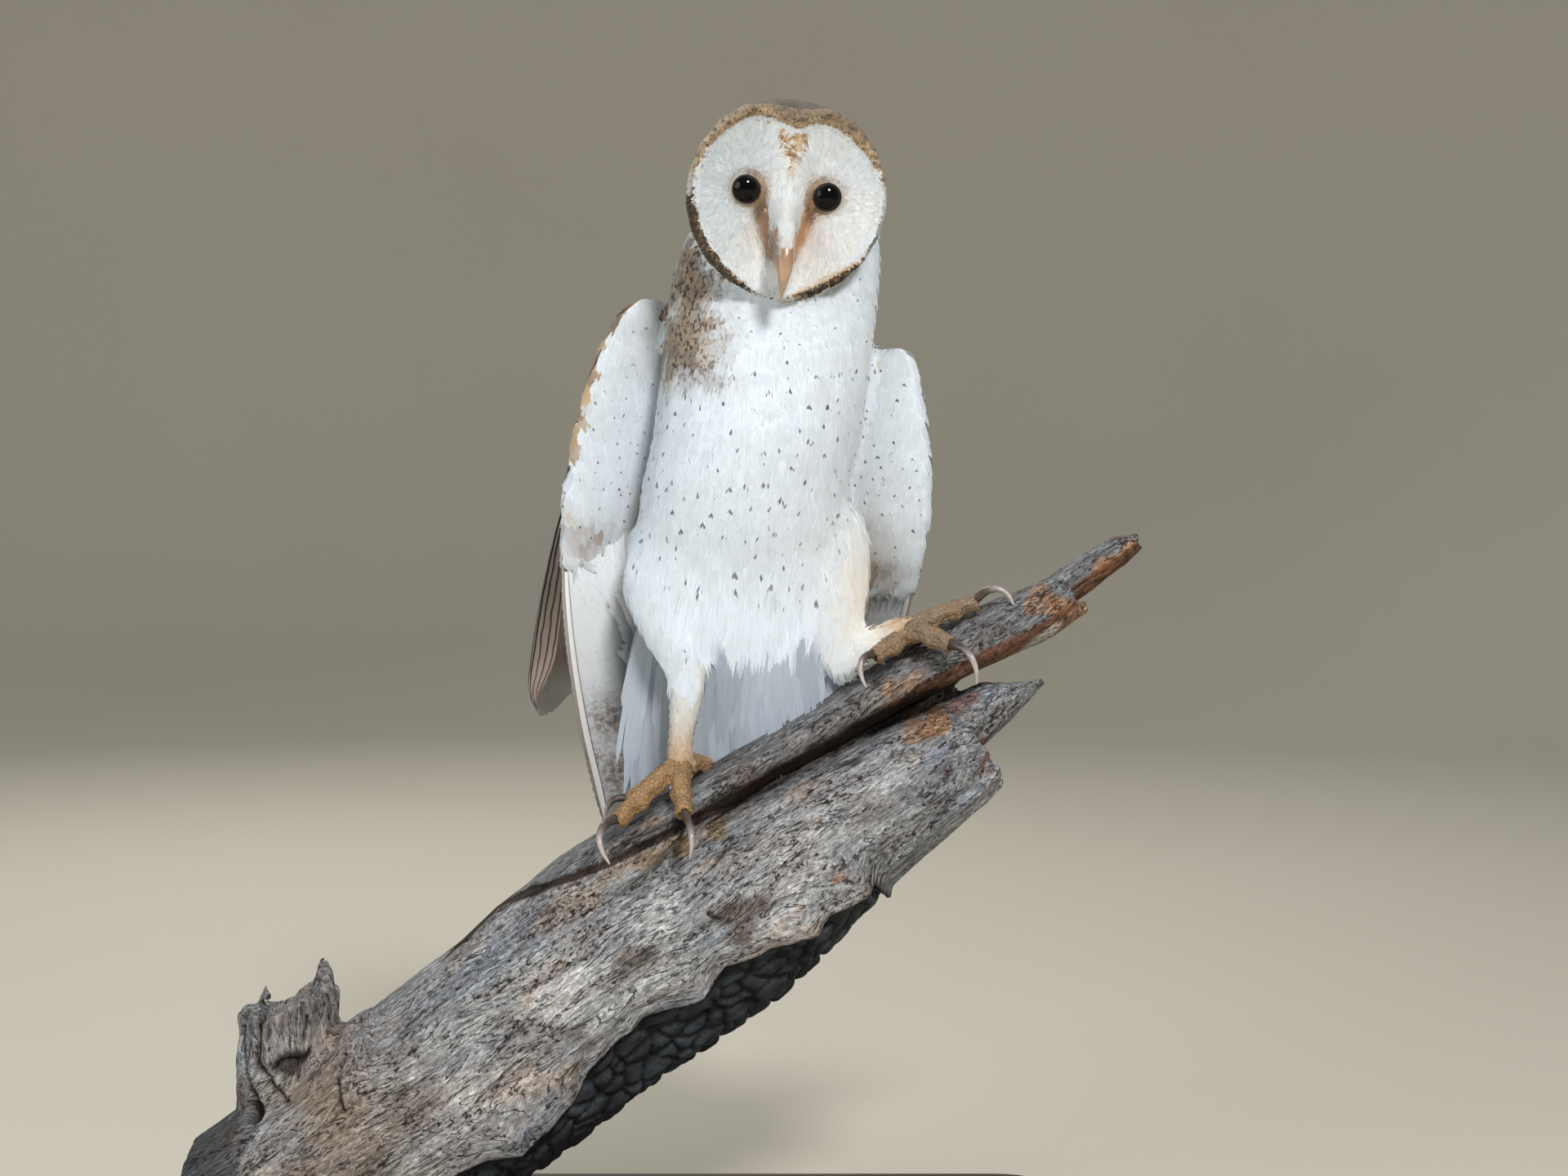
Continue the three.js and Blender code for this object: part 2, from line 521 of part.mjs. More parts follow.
function addLeg(side, leg, foot, log) {
  const thigh = limb(leg.thigh, 5, THIGH_SIDES);
  const shank = limb(leg.shank, 6, SHANK_SIDES);
  add(`thigh_${side}`, subtract(solid(thigh), swollen(shank)), COLOURS.white, 0.85);
  add(`shank_${side}`, subtract(solid(shank), log), COLOURS.white, 0.8);
  let taken = union(swollen(shank), log);
  for (const [name, digit] of Object.entries(foot)) {
    const [toe, claw] = [limb(digit.toe, 4, TOE_SIDES), limb(digit.claw, 6, CLAW_SIDES)];
    add(`toe_${name}_${side}`, subtract(solid(toe), swollen(claw), taken), COLOURS.toe, 0.6);
    add(`claw_${name}_${side}`, subtract(solid(claw), log), COLOURS.claw, 0.25);
    taken = union(taken, swollen(toe));
  }
  return union(swollen(thigh), swollen(shank));
}

function addOwl(log) {
  const headRoom = addHead();
  const body = levelBody(BODY_ROWS, 12, 17);
  const tail = sheet(TAIL_ROWS, 7, 6);
  const legs = union(addLeg("right", RIGHT_LEG, RIGHT_FOOT, log), addLeg("left", LEFT_LEG, LEFT_FOOT, log));
  const [trunk, neck] = split(subtract(solid(body), headRoom), vec(0, 0, NECK_Z), vec(0, 0, 1));
  add("neck", neck, COLOURS.white, 0.85);
  add("trunk", subtract(trunk, legs), COLOURS.white, 0.85);
  add("tail", subtract(solid(tail), swollen(body), legs), COLOURS.white, 0.75);
  const keepOut = union(swollen(body), legs, swollen(tail));
  addWing("right", RIGHT_WING, keepOut);
  addWing("left", LEFT_WING, keepOut);
}

const log = makeLog();
addSupport(log);
addOwl(log.swollen);

export default object;
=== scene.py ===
"""Looks of the mounted barn owl: its skin, coat of feathers, eyes, bill, feet, weathered log and base.

The CAD solids reach out to the tips of the coat. One skin lies inside them, and feathers are rooted on it.
Lengths are written in millimetres and multiplied by MM, because Blender works in metres.
"""

import math
import bmesh
import bpy
import numpy as np
from mathutils import Matrix, Vector
from mathutils.bvhtree import BVHTree
from mathutils.kdtree import KDTree
from types import SimpleNamespace


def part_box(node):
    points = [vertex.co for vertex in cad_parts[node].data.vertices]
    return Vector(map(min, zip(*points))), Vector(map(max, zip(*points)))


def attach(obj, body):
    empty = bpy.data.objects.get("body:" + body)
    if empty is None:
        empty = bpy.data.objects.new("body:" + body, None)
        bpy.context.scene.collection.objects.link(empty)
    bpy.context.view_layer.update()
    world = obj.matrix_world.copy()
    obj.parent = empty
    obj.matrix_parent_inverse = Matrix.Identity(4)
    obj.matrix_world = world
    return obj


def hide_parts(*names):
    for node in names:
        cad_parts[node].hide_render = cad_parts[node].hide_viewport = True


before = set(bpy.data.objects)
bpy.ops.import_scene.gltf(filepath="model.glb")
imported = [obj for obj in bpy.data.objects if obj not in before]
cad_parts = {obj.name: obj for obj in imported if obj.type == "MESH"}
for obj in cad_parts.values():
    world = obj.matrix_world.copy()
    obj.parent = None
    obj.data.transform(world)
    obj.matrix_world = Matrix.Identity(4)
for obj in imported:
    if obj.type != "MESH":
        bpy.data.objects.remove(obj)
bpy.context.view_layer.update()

MM = 0.001
SEED = 7
SIDES = ("right", "left")
DIGITS = ("hind", "inner", "middle", "outer")

# ---------------------------------------------------------------- the photograph's view

IMAGE_WIDTH = 1920  # pixels
CAMERA_TARGET = np.array([70.0, 0.0, 320.6]) * MM
CAMERA_DISTANCE = 1067 * MM
CAMERA_RISE = math.radians(3)  # the camera looks down by this much
PIXEL = 0.37 * MM  # one pixel at the camera's target
SENSOR = 36  # millimetres across the frame

# ---------------------------------------------------------------- the head's own frame, as in the CAD

HEAD_CENTRE = np.array([71.6, -49.0, 490.4]) * MM
HEAD_PITCH, HEAD_ROLL, HEAD_YAW = math.radians(10), math.radians(5), math.radians(6)
HEAD = (
    Matrix.Translation(HEAD_CENTRE)
    @ Matrix.Rotation(HEAD_YAW, 4, "Z")
    @ Matrix.Rotation(HEAD_PITCH, 4, "X")
    @ Matrix.Rotation(HEAD_ROLL, 4, "Y")
)
DISC_RADIUS = 42.6 * MM
DISC_NOTCH, DISC_NOTCH_WIDTH = 7.5 * MM, 0.3
DISC_DISH = 7 * MM
EYE_RADIUS = 8.5 * MM
EYE_PLACE = np.array([17.6, 11.2, 1.9]) * MM  # x is mirrored for the right eye
LID_OPENING = 5.6 * MM
LID_DROOP = math.radians(125)  # the direction, from the head's outer side, in which a lid hangs lowest
# Millimetres out from the opening, and back from the eye's surface.
LID_PROFILE = [
    (-0.25, 0.25), (0.0, -0.25), (0.25, -0.45), (0.5, -0.4), (0.9, -0.2), (1.6, -0.05), (2.6, 0.0),
    (3.8, 0.0), (4.8, 0.15), (5.6, 0.8),
]

# ---------------------------------------------------------------- numbers and noise

# The odd numbers that scramble a cell's place and seed into a number that looks random.
HASH_AXES = np.array([374761393, 668265263, 1103515245])
HASH_SEED, HASH_MIX, HASH_BITS = 974711, 1274126177, 0xFFFFFFFF
OCTAVE_SUM = 1.75  # what three octaves of noise add up to


def unit(v):
    """Rows of v at length one."""
    return v / np.maximum(np.linalg.norm(v, axis=-1, keepdims=True), 1e-12)


def ramp(x, low, high):
    """0 at low to 1 at high, smoothly. low may be the larger."""
    t = np.clip((x - low) / (high - low), 0, 1)
    return t * t * (3 - 2 * t)


def ramp_mm(x, low, high):
    """The same over a length, with low and high in millimetres."""
    return ramp(x, low * MM, high * MM)


def bump(x, width):
    """1 at zero, falling away on both sides."""
    return np.exp(-((x / width) ** 2))


def mixed(a, b, share):
    """Rows of colours or ways, changed from a to b by each row's share."""
    share = np.asarray(share)[..., None]
    return np.asarray(a) * (1 - share) + np.asarray(b) * share


def hashed(cell, seed):
    """A number from 0 to 1 for each row of whole numbers."""
    h = ((cell * HASH_AXES).sum(-1) + seed * HASH_SEED) & HASH_BITS
    h = ((h ^ (h >> 13)) * HASH_MIX) & HASH_BITS
    return ((h ^ (h >> 16)) & 0xFFFF) / 0xFFFF


def noise(p, size, seed=0):
    """Smooth noise from -1 to 1 over points. Its features' size is one or three lengths in millimetres."""
    q = p / (np.asarray(size, float) * MM)
    cell = np.floor(q).astype(np.int64)
    f = q - cell
    f = f * f * (3 - 2 * f)
    total = np.zeros(p.shape[:-1])
    for corner in np.ndindex(2, 2, 2):
        weight = np.prod(np.where(np.array(corner) == 1, f, 1 - f), axis=-1)
        total += weight * hashed(cell + np.array(corner), seed)
    return 2 * total - 1


def noises(p, size, seed, count):
    """A number of noises side by side."""
    return np.stack([noise(p, size, seed + k) for k in range(count)], -1)


def fractal(p, size, octaves=3, seed=0):
    """Noise with finer noise on top of it."""
    size = np.asarray(size, float)
    return sum(noise(p, size / 2**k, seed + k) / 2**k for k in range(octaves)) / OCTAVE_SUM


def cells(p, size, seed=0):
    """Each point's distance to the nearest and second nearest of scattered centres, in cell sizes."""
    q = p / (np.asarray(size, float) * MM)
    base = np.floor(q).astype(np.int64)
    near = np.full(p.shape[:-1], 9.0)
    second = near.copy()
    for offset in np.ndindex(3, 3, 3):
        cell = base + np.array(offset) - 1
        centre = cell + np.stack([hashed(cell, seed + k) for k in range(3)], -1)
        d = np.linalg.norm(q - centre, axis=-1)
        second = np.where(d < near, near, np.minimum(second, d))
        near = np.minimum(near, d)
    return near, second


def layered(ground, layers):
    """A colour with others laid over it in turn, each given as colour and share."""
    for colour, share in layers:
        ground = mixed(ground, colour, share)
    return ground


def random_share(rng, mean, spread, count):
    """A share from 0 to 1 for each of count feathers."""
    return np.clip(rng.normal(mean, spread, count), 0, 1)


def weights(t, count):
    """How much each of count rows counts at places t, from 0 to 1, on a smooth curve through them."""
    at = np.clip(t, 0, 1) * (count - 1)
    i = np.minimum(at.astype(int), count - 2)
    f = at - i
    parts = (-f + 2 * f**2 - f**3, 2 - 5 * f**2 + 3 * f**3, f + 4 * f**2 - 3 * f**3, f**3 - f**2)
    total = np.zeros((*t.shape, count))
    for k, part in enumerate(parts):
        near = np.clip(i + k - 1, 0, count - 1)
        total += 0.5 * part[..., None] * (np.arange(count) == near[..., None])
    return total


# ---------------------------------------------------------------- meshes


def mesh_of(name, points, *face_sets):
    """A mesh from an array of points and arrays of triangles or quads."""
    mesh = bpy.data.meshes.new(name)
    loops = np.concatenate([f.ravel() for f in face_sets]).astype(np.int32)
    sizes = np.concatenate([np.full(len(f), f.shape[1]) for f in face_sets])
    mesh.vertices.add(len(points))
    mesh.vertices.foreach_set("co", np.asarray(points, np.float32).ravel())
    mesh.loops.add(len(loops))
    mesh.loops.foreach_set("vertex_index", loops)
    mesh.polygons.add(len(sizes))
    mesh.polygons.foreach_set("loop_start", np.concatenate([[0], np.cumsum(sizes)[:-1]]).astype(np.int32))
    mesh.update(calc_edges=True)
    return mesh


def tube(rings, around, start=0):
    """Quads between rings of points that follow one another from the start."""
    ring, after = np.arange(around), np.roll(np.arange(around), -1)
    quads = np.stack([ring, after, around + after, around + ring], -1)
    return np.concatenate([start + k * around + quads for k in range(rings - 1)])


def fan(around, start, middle):
    """Triangles from a middle point to the ring that starts at start."""
    ring, after = start + np.arange(around), start + np.roll(np.arange(around), -1)
    return np.stack([np.full(around, middle), ring, after], -1)


def rows_of(items, key, width, kind=np.float32):
    """A value of every vertex, edge, loop or triangle, as rows of the given width."""
    values = np.empty(len(items) * width, kind)
    items.foreach_get(key, values)
    return values.reshape(-1, width)


def points_of(mesh):
    return rows_of(mesh.vertices, "co", 3).astype(float)


def normals_of(mesh):
    return rows_of(mesh.vertices, "normal", 3).astype(float)


def triangles_of(mesh):
    mesh.calc_loop_triangles()
    return rows_of(mesh.loop_triangles, "vertices", 3, np.int32)


def edges_of(mesh):
    return rows_of(mesh.edges, "vertices", 2, np.int32)


def move_to(mesh, points):
    mesh.vertices.foreach_set("co", np.asarray(points, np.float32).ravel())
    mesh.update()


def smoothed(mesh, points, rounds, grip=-0.53):
    """Points evened out over the mesh's edges. A negative grip keeps parts as thick as they were."""
    a, b = edges_of(mesh).T
    count = np.maximum(np.bincount(a, minlength=len(points)) + np.bincount(b, minlength=len(points)), 1)
    for factor in (0.5, grip) * rounds:
        total = [np.bincount(a, v[b], len(v)) + np.bincount(b, v[a], len(v)) for v in points.T]
        points = points + factor * (np.stack(total, -1) / count[:, None] - points)
    return points


def cad_surface(names, swell=0.0):
    """The points and triangles of CAD nodes together, each pushed out by swell so that neighbours meet."""
    points, faces, start = [], [], 0
    for name in names:
        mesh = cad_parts[name].data.copy()
        corners, welded = np.unique(np.round(points_of(mesh), 6), axis=0, return_inverse=True)
        triangles = welded.reshape(-1)[triangles_of(mesh)]
        flat = mesh_of("weld", corners, triangles)
        points.append(corners + swell * normals_of(flat))
        faces.append(triangles + start)
        start += len(corners)
        bpy.data.meshes.remove(mesh)
    return np.concatenate(points), np.concatenate(faces)


def placed(name, data):
    """A new object in the scene."""
    thing = bpy.data.objects.new(name, data)
    bpy.context.scene.collection.objects.link(thing)
    return thing


def modified(name, points, faces, kind, **settings):
    """The mesh that a modifier makes of points and faces."""
    source = placed(name, mesh_of(name + "_source", points, faces))
    modifier = source.modifiers.new(kind, kind)
    for key, value in settings.items():
        setattr(modifier, key, value)
    bpy.context.view_layer.update()
    mesh = bpy.data.meshes.new_from_object(source.evaluated_get(bpy.context.evaluated_depsgraph_get()))
    bpy.data.objects.remove(source)
    mesh.name = name
    return mesh


def remeshed(name, points, faces, voxel):
    """One even closed surface round everything given."""
    return modified(name, points, faces, "REMESH", mode="VOXEL", voxel_size=voxel)


def attribute(mesh, name, values):
    """A value, vector or colour for each vertex, which materials read by name."""
    values = np.asarray(values, np.float32)
    kind, key = {1: ("FLOAT", "value"), 3: ("FLOAT_VECTOR", "vector"), 4: ("FLOAT_COLOR", "color")}[
        1 if values.ndim == 1 else values.shape[1]
    ]
    mesh.attributes.new(name, kind, "POINT").data.foreach_set(key, values.ravel())


def colour_attribute(mesh, rgb):
    attribute(mesh, "tint", np.concatenate([rgb, np.ones((len(rgb), 1))], 1))


def show(name, mesh, material, nodes=(), airy=False):
    """Puts a finished mesh in the scene as a piece. nodes are the CAD solids it replaces.

    An airy piece lets light through to what lies under it.
    """
    piece = placed(name, mesh)
    mesh.name = name
    mesh.materials.clear()
    mesh.materials.append(material)
    mesh.polygons.foreach_set("use_smooth", np.full(len(mesh.polygons), True))
    piece.visible_shadow = not airy
    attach(piece, "root")
    if nodes:
        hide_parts(*nodes)


def tree_of(points, triangles):
    return BVHTree.FromPolygons(points.tolist(), triangles.tolist())


def nearest(tree, points):
    """The nearest places on a surface: their points, normals and face numbers."""
    found = [tree.find_nearest(p) for p in points.reshape(-1, 3).tolist()]
    shape = points.shape
    place = np.array([f[0] for f in found]).reshape(shape)
    normal = np.array([f[1] for f in found]).reshape(shape)
    return place, normal, np.array([f[2] for f in found]).reshape(shape[:-1])


# ---------------------------------------------------------------- materials


class Nodes:
    """A material's node tree, built by short calls."""

    def __init__(self, name):
        self.material = bpy.data.materials.new(name)
        self.material.use_nodes = True
        self.tree = self.material.node_tree
        self.shader = self.tree.nodes["Principled BSDF"]

    def add(self, kind, **values):
        node = self.tree.nodes.new("ShaderNode" + kind)
        for key, value in values.items():
            setattr(node, key, value)
        return node

    def link(self, source, socket):
        self.tree.links.new(source, socket)

    def fill(self, socket, value):
        if isinstance(value, bpy.types.NodeSocket):
            self.link(value, socket)
        else:
            socket.default_value = value

    def read(self, name, output="Fac"):
        return self.add("Attribute", attribute_name=name).outputs[output]

    def paint(self, socket, colour):
        self.fill(socket, colour if isinstance(colour, bpy.types.NodeSocket) else (*colour, 1))

    def maths(self, operation, a, b=0.0):
        node = self.add("Math", operation=operation)
        self.fill(node.inputs[0], a)
        self.fill(node.inputs[1], b)
        return node.outputs[0]

    def plus(self, a, b):
        return self.maths("ADD", a, b)

    def minus(self, a, b):
        return self.maths("SUBTRACT", a, b)

    def times(self, a, *others):
        for b in others:
            a = self.maths("MULTIPLY", a, b)
        return a

    def from_middle(self, value):
        """How far a value is from 0.5."""
        return self.maths("ABSOLUTE", self.minus(value, 0.5))

    def ramp(self, value, low, high, bottom=0.0, top=1.0):
        node = self.add("MapRange", interpolation_type="SMOOTHSTEP")
        for socket, given in zip(node.inputs, (value, low, high, bottom, top)):
            self.fill(socket, given)
        return node.outputs[0]

    def mix(self, share, a, b, blend="MIX"):
        node = self.add("Mix", data_type="RGBA", blend_type=blend)
        self.fill(node.inputs[0], share)
        self.paint(node.inputs[6], a)
        self.paint(node.inputs[7], b)
        return node.outputs[2]

    def shaded(self, colour, shade):
        """A colour multiplied by a grey value."""
        grey = self.add("CombineColor")
        for k in range(3):
            self.fill(grey.inputs[k], shade)
        return self.mix(1.0, colour, grey.outputs[0], "MULTIPLY")

    def set_up(self, kind, vector, **values):
        """A node that reads a vector, with the named inputs set."""
        node = self.add(kind)
        self.link(vector, node.inputs["Vector"])
        for key, value in values.items():
            node.inputs[key].default_value = value
        return node

    def noise(self, vector, scale, detail=4.0, roughness=0.55, distortion=0.0):
        """Noise of so many features a metre, in all directions or along each axis."""
        if isinstance(scale, tuple):
            vector, scale = self.set_up("Mapping", vector, Scale=scale).outputs[0], 1.0
        settings = {"Scale": scale, "Detail": detail, "Roughness": roughness, "Distortion": distortion}
        return self.set_up("TexNoise", vector, **settings).outputs["Fac"]

    def position(self):
        return self.add("TexCoord").outputs["Object"]

    def bump(self, height, distance, strength=1.0):
        """Relief whose full height is distance, in metres."""
        node = self.add("Bump")
        node.inputs["Strength"].default_value = strength
        node.inputs["Distance"].default_value = distance
        self.link(height, node.inputs["Height"])
        self.link(node.outputs[0], self.shader.inputs["Normal"])

    def finish(self, colour, roughness, specular=0.5, sheen=0.0):
        self.paint(self.shader.inputs["Base Color"], colour)
        self.fill(self.shader.inputs["Roughness"], roughness)
        self.shader.inputs["Specular IOR Level"].default_value = specular
        self.shader.inputs["Sheen Weight"].default_value = sheen
        return self.material


def read_vane(m, lengthwise, slant, crosswise, roughness=0.55):
    """A vane's map, the places on it across, along and out from the shaft, and a noise along its barbs."""
    vane = m.add("UVMap", uv_map="Vane").outputs[0]
    parts = m.add("SeparateXYZ")
    m.link(vane, parts.inputs[0])
    across, along, _ = parts.outputs
    side = m.from_middle(across)
    lines = m.add("CombineXYZ")
    m.link(m.minus(m.times(along, lengthwise), m.times(side, slant)), lines.inputs[0])
    m.link(m.times(across, crosswise), lines.inputs[1])
    return vane, across, along, side, m.noise(lines.outputs[0], 1.0, 3, roughness)


def feather_material(name, roughness=0.8, gloss=0.2):
    """Tinted vanes with fine barbs. mark adds a dark arrowhead near the tip, and pearl a white spot."""
    m = Nodes(name)
    vane, _, along, side, barbs = read_vane(m, 34.0, 30.0, 3.0)
    reach = m.ramp(along, 0.75, 0.90, 0.0, 0.155)
    inside = m.ramp(m.minus(reach, side), -0.01, 0.02)
    ended = m.ramp(m.minus(along, m.times(side, 0.3)), 0.875, 0.905, 1.0, 0.0)
    spot = m.times(inside, ended, m.read("mark"))
    pearl = m.times(m.ramp(side, 0.13, 0.09), m.ramp(along, 0.86, 0.89))
    pearl = m.times(pearl, m.ramp(along, 0.985, 0.96), m.read("pearl"))
    hairs = m.noise(vane, (60, 4, 1), 2)
    shade = m.times(m.ramp(barbs, 0.3, 0.75, 0.93, 1.02), m.ramp(hairs, 0.3, 0.7, 0.94, 1.02))
    tinted = m.shaded(m.read("tint", "Color"), shade)
    tinted = m.mix(spot, tinted, (0.085, 0.072, 0.065))
    dust = m.noise(m.position(), (560, 560, 330), 3, 0.6)
    fleck = m.times(m.ramp(dust, 0.50, 0.60), m.read("mottle"))
    tinted = m.mix(fleck, tinted, (0.085, 0.060, 0.045))
    m.bump(m.plus(barbs, hairs), 0.0002, 0.35)
    return m.finish(m.mix(pearl, tinted, (0.78, 0.74, 0.68)), roughness, gloss, 0.12)


# ---------------------------------------------------------------- stage, lights and camera


LIGHTS_AIM = Vector((0.06, 0, 0.34))  # metres, in the owl's breast


def make_camera():
    """The photograph's view: level with the belly, with a long lens."""
    data = bpy.data.cameras.new("camera")
    data.sensor_fit = "HORIZONTAL"
    data.sensor_width = SENSOR
    data.lens = SENSOR * CAMERA_DISTANCE / PIXEL / IMAGE_WIDTH
    data.clip_start = 0.02
    camera = placed("camera", data)
    back = Vector((0, -math.cos(CAMERA_RISE), math.sin(CAMERA_RISE)))
    camera.location = Vector(CAMERA_TARGET) + CAMERA_DISTANCE * back
    camera.rotation_euler = back.to_track_quat("Z", "Y").to_euler()
    bpy.context.scene.camera = camera


def make_light(name, place, size, power, colour):
    """A round soft light, aimed at the owl. place and size are in metres and power in watts."""
    data = bpy.data.lights.new(name, "AREA")
    data.shape = "DISK"
    data.size = size
    data.energy = power
    data.color = colour
    light = placed(name, data)
    light.location = place
    light.rotation_euler = (Vector(place) - LIGHTS_AIM).to_track_quat("Z", "Y").to_euler()


def make_stage():
    """A pale floor that curves up all round, so that every view has the same plain ground."""
    flat, curve, rim, height = 1.6, 1.0, 3.2, 2.6
    turns, sides = 14, 72
    profile = [(flat, 0.0)]
    for k in range(turns + 1):
        angle = math.pi / 2 * k / turns
        profile.append((rim - curve + curve * math.sin(angle), curve - curve * math.cos(angle)))
    profile.append((rim, height))
    angles = np.arange(sides) * 2 * math.pi / sides
    points = [(r * math.cos(a), r * math.sin(a), z) for r, z in profile for a in angles]
    wall = tube(len(profile), sides)[:, ::-1]
    mesh = mesh_of("stage", [*points, (0, 0, 0)], wall, fan(sides, 0, len(points)))
    floor = placed("stage", mesh)
    m = Nodes("pale_ground")
    cloud = m.noise(m.position(), 2.0, 2)
    mesh.materials.append(m.finish(m.mix(cloud, (0.60, 0.56, 0.47), (0.64, 0.60, 0.51)), 0.9, 0.1))
    mesh.polygons.foreach_set("use_smooth", np.full(len(mesh.polygons), True))
    world = bpy.data.worlds.new("world")
    world.use_nodes = True
    world.node_tree.nodes["Background"].inputs[0].default_value = (0.86, 0.92, 1.0, 1)
    world.node_tree.nodes["Background"].inputs[1].default_value = 0.27
    bpy.context.scene.world = world
    make_light("key", (0.62, -1.4, 1.55), 0.35, 28, (0.985, 0.99, 1.0))
    make_light("fill", (-1.3, -1.1, 0.9), 1.2, 11, (0.86, 0.93, 1.0))
    make_light("back", (-0.5, 1.3, 1.5), 1.0, 15, (1.0, 0.98, 0.95))
    bpy.context.scene.view_settings.view_transform = "Standard"


# ---------------------------------------------------------------- log and base

LOG_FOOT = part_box("log_trunk")[0][2]
WOOD_VOXEL = 1.35 * MM
# The log's own frame is (s, y, t): s along its lean, t square to it.
LOG_ORIGIN = np.array([10.3, 0, 148.7]) * MM
LOG_SLOPE = math.radians(35.5)
ALONG_LOG = np.array([math.cos(LOG_SLOPE), 0, math.sin(LOG_SLOPE)])
UP_FROM_LOG = np.array([-math.sin(LOG_SLOPE), 0, math.cos(LOG_SLOPE)])
LOG_WAYS = np.array([ALONG_LOG, (0, 1, 0), UP_FROM_LOG])
STUB_X = -156 * MM
CHAR_PLANE = {"t": -20, "y": -40, "tilt": math.radians(16)}
# Millimetres along the log, and there: the height of the split under the upper spar, the split's depth, and
# the height of the sound wood's lower edge.
SPLIT = [
    (-75, 58), (-41, 63), (-21, 60), (4, 54.5), (21, 50.9), (50, 46.5), (69, 42.5), (106, 36), (121, 35),
    (153, 31), (174, 27), (200, 22),
]
SPLIT_DEPTH = [
    (-75, 0), (-40, 1.2), (20, 2.4), (50, 4), (72, 9), (100, 12), (165, 12), (185, 5), (200, 2),
]
SOUND_EDGE = [
    (-210, -26), (-123, -20), (-103, -23), (-90, -30), (-60, -24.5), (-45, -17), (-11, -12), (15, -19.5),
    (32, -14), (72, -27), (82, -25), (110, -29),
]
# A thin plate of wood stands off below the spar: the crack above it, from left to right.
PLATE = [(14, 54), (30, 55.5), (50, 51), (70, 43)]
# A filler block at the back of the gap between spar and spike, in the log's frame in millimetres. Its
# near-black tint is painted shade of that hollow.
CORE_PLACE, CORE_SIZE = (163, 9, 31), (42, 13, 10)
# The stub flares out where it leaves the log. From here to the knot hole the frame is the world's.
FLARE_PLACE, FLARE_SIZE = (-140, 0, 99), (30, 23, 22)
# Cracks in the front of the stub, in millimetres of x and z, and each crack's half width.
STUB_CRACKS = [
    ([(-162, 132), (-166, 124), (-166, 113), (-167, 107), (-163, 104)], 0.9),
    ([(-160, 106), (-154, 110), (-147, 109), (-143, 114)], 0.8),
    ([(-174, 127), (-176, 118), (-173, 104), (-167, 92)], 0.5),
    ([(-161, 104), (-158, 98), (-152, 93)], 0.3),
    ([(-126, 113), (-129, 105), (-127, 98), (-124, 92)], 0.4),
    ([(-144, 128), (-146, 118)], 0.4),
    ([(-164, 133), (-157, 135), (-151, 138)], 1.5),
]
KNOT_HOLE = (-168, 87, 6.0)  # x, z and radius


def to_log(points):
    return (points - LOG_ORIGIN) @ LOG_WAYS.T


def from_log(q):
    return q @ LOG_WAYS + LOG_ORIGIN


def follow(pairs, s):
    """A height in metres that runs through pairs of millimetres."""
    at, value = np.array(pairs).T * MM
    return np.interp(s, at, value)


def above_split(q):
    return q[:, 2] - follow(SPLIT, q[:, 0])


def ragged_edge(q):
    """How far the edge between sound and charred wood strays up from the plane that parts their solids."""
    plane = CHAR_PLANE["t"] * MM + (q[:, 1] - CHAR_PLANE["y"] * MM) * math.tan(CHAR_PLANE["tilt"])
    stray = follow(SOUND_EDGE, q[:, 0]) - CHAR_PLANE["t"] * MM + 1.5 * MM * noise(q, 9, 40)
    stray = np.where(q[:, 1] < 0, stray, 4 * MM * noise(q, (34, 60, 34), 41))
    return plane, stray * ramp_mm(q[:, 0], 112, 100)


def grain_of(q, points):
    """Where a place lies in the wood's grain, which runs along the log and up the stub."""
    stub = ramp_mm(np.abs(points[:, 0] - STUB_X), 46, 16) * ramp_mm(points[:, 2], 84, 122)
    swirl = 2.0 * MM * noises(q, 34, 50, 3)
    root = to_log(np.array([[STUB_X, 0, 104 * MM]]))[0]
    turn = stub * (math.pi / 2 - LOG_SLOPE)
    c, s = np.cos(turn), np.sin(turn)
    along, _, up = (q - root).T
    turned = np.stack([c * along + s * up, q[:, 1], c * up - s * along], -1)
    return turned + swirl


def globe():
    """A unit ball: its points and triangles."""
    work = bmesh.new()
    bmesh.ops.create_icosphere(work, subdivisions=3, radius=1.0)
    points = np.array([v.co[:] for v in work.verts])
    faces = np.array([[v.index for v in face.verts] for face in work.faces])
    work.free()
    return points, faces


def near_lines(points, lines, seed):
    """How strongly places lie in ragged lines on the front, given by x and z in millimetres."""
    stray = 0.8 * noises(points, 5, seed, 2)
    flat = points[:, [0, 2]] / MM + stray
    found = np.zeros(len(points))
    for line, width in lines:
        for a, b in zip(np.array(line[:-1], float), np.array(line[1:], float)):
            along = np.clip((flat - a) @ (b - a) / ((b - a) @ (b - a)), 0, 1)[:, None]
            away = np.linalg.norm(flat - a - along * (b - a), axis=1)
            found = np.maximum(found, ramp(away, width + 0.9, 0.5 * width))
    return found * ramp_mm(points[:, 1], 4, -4)


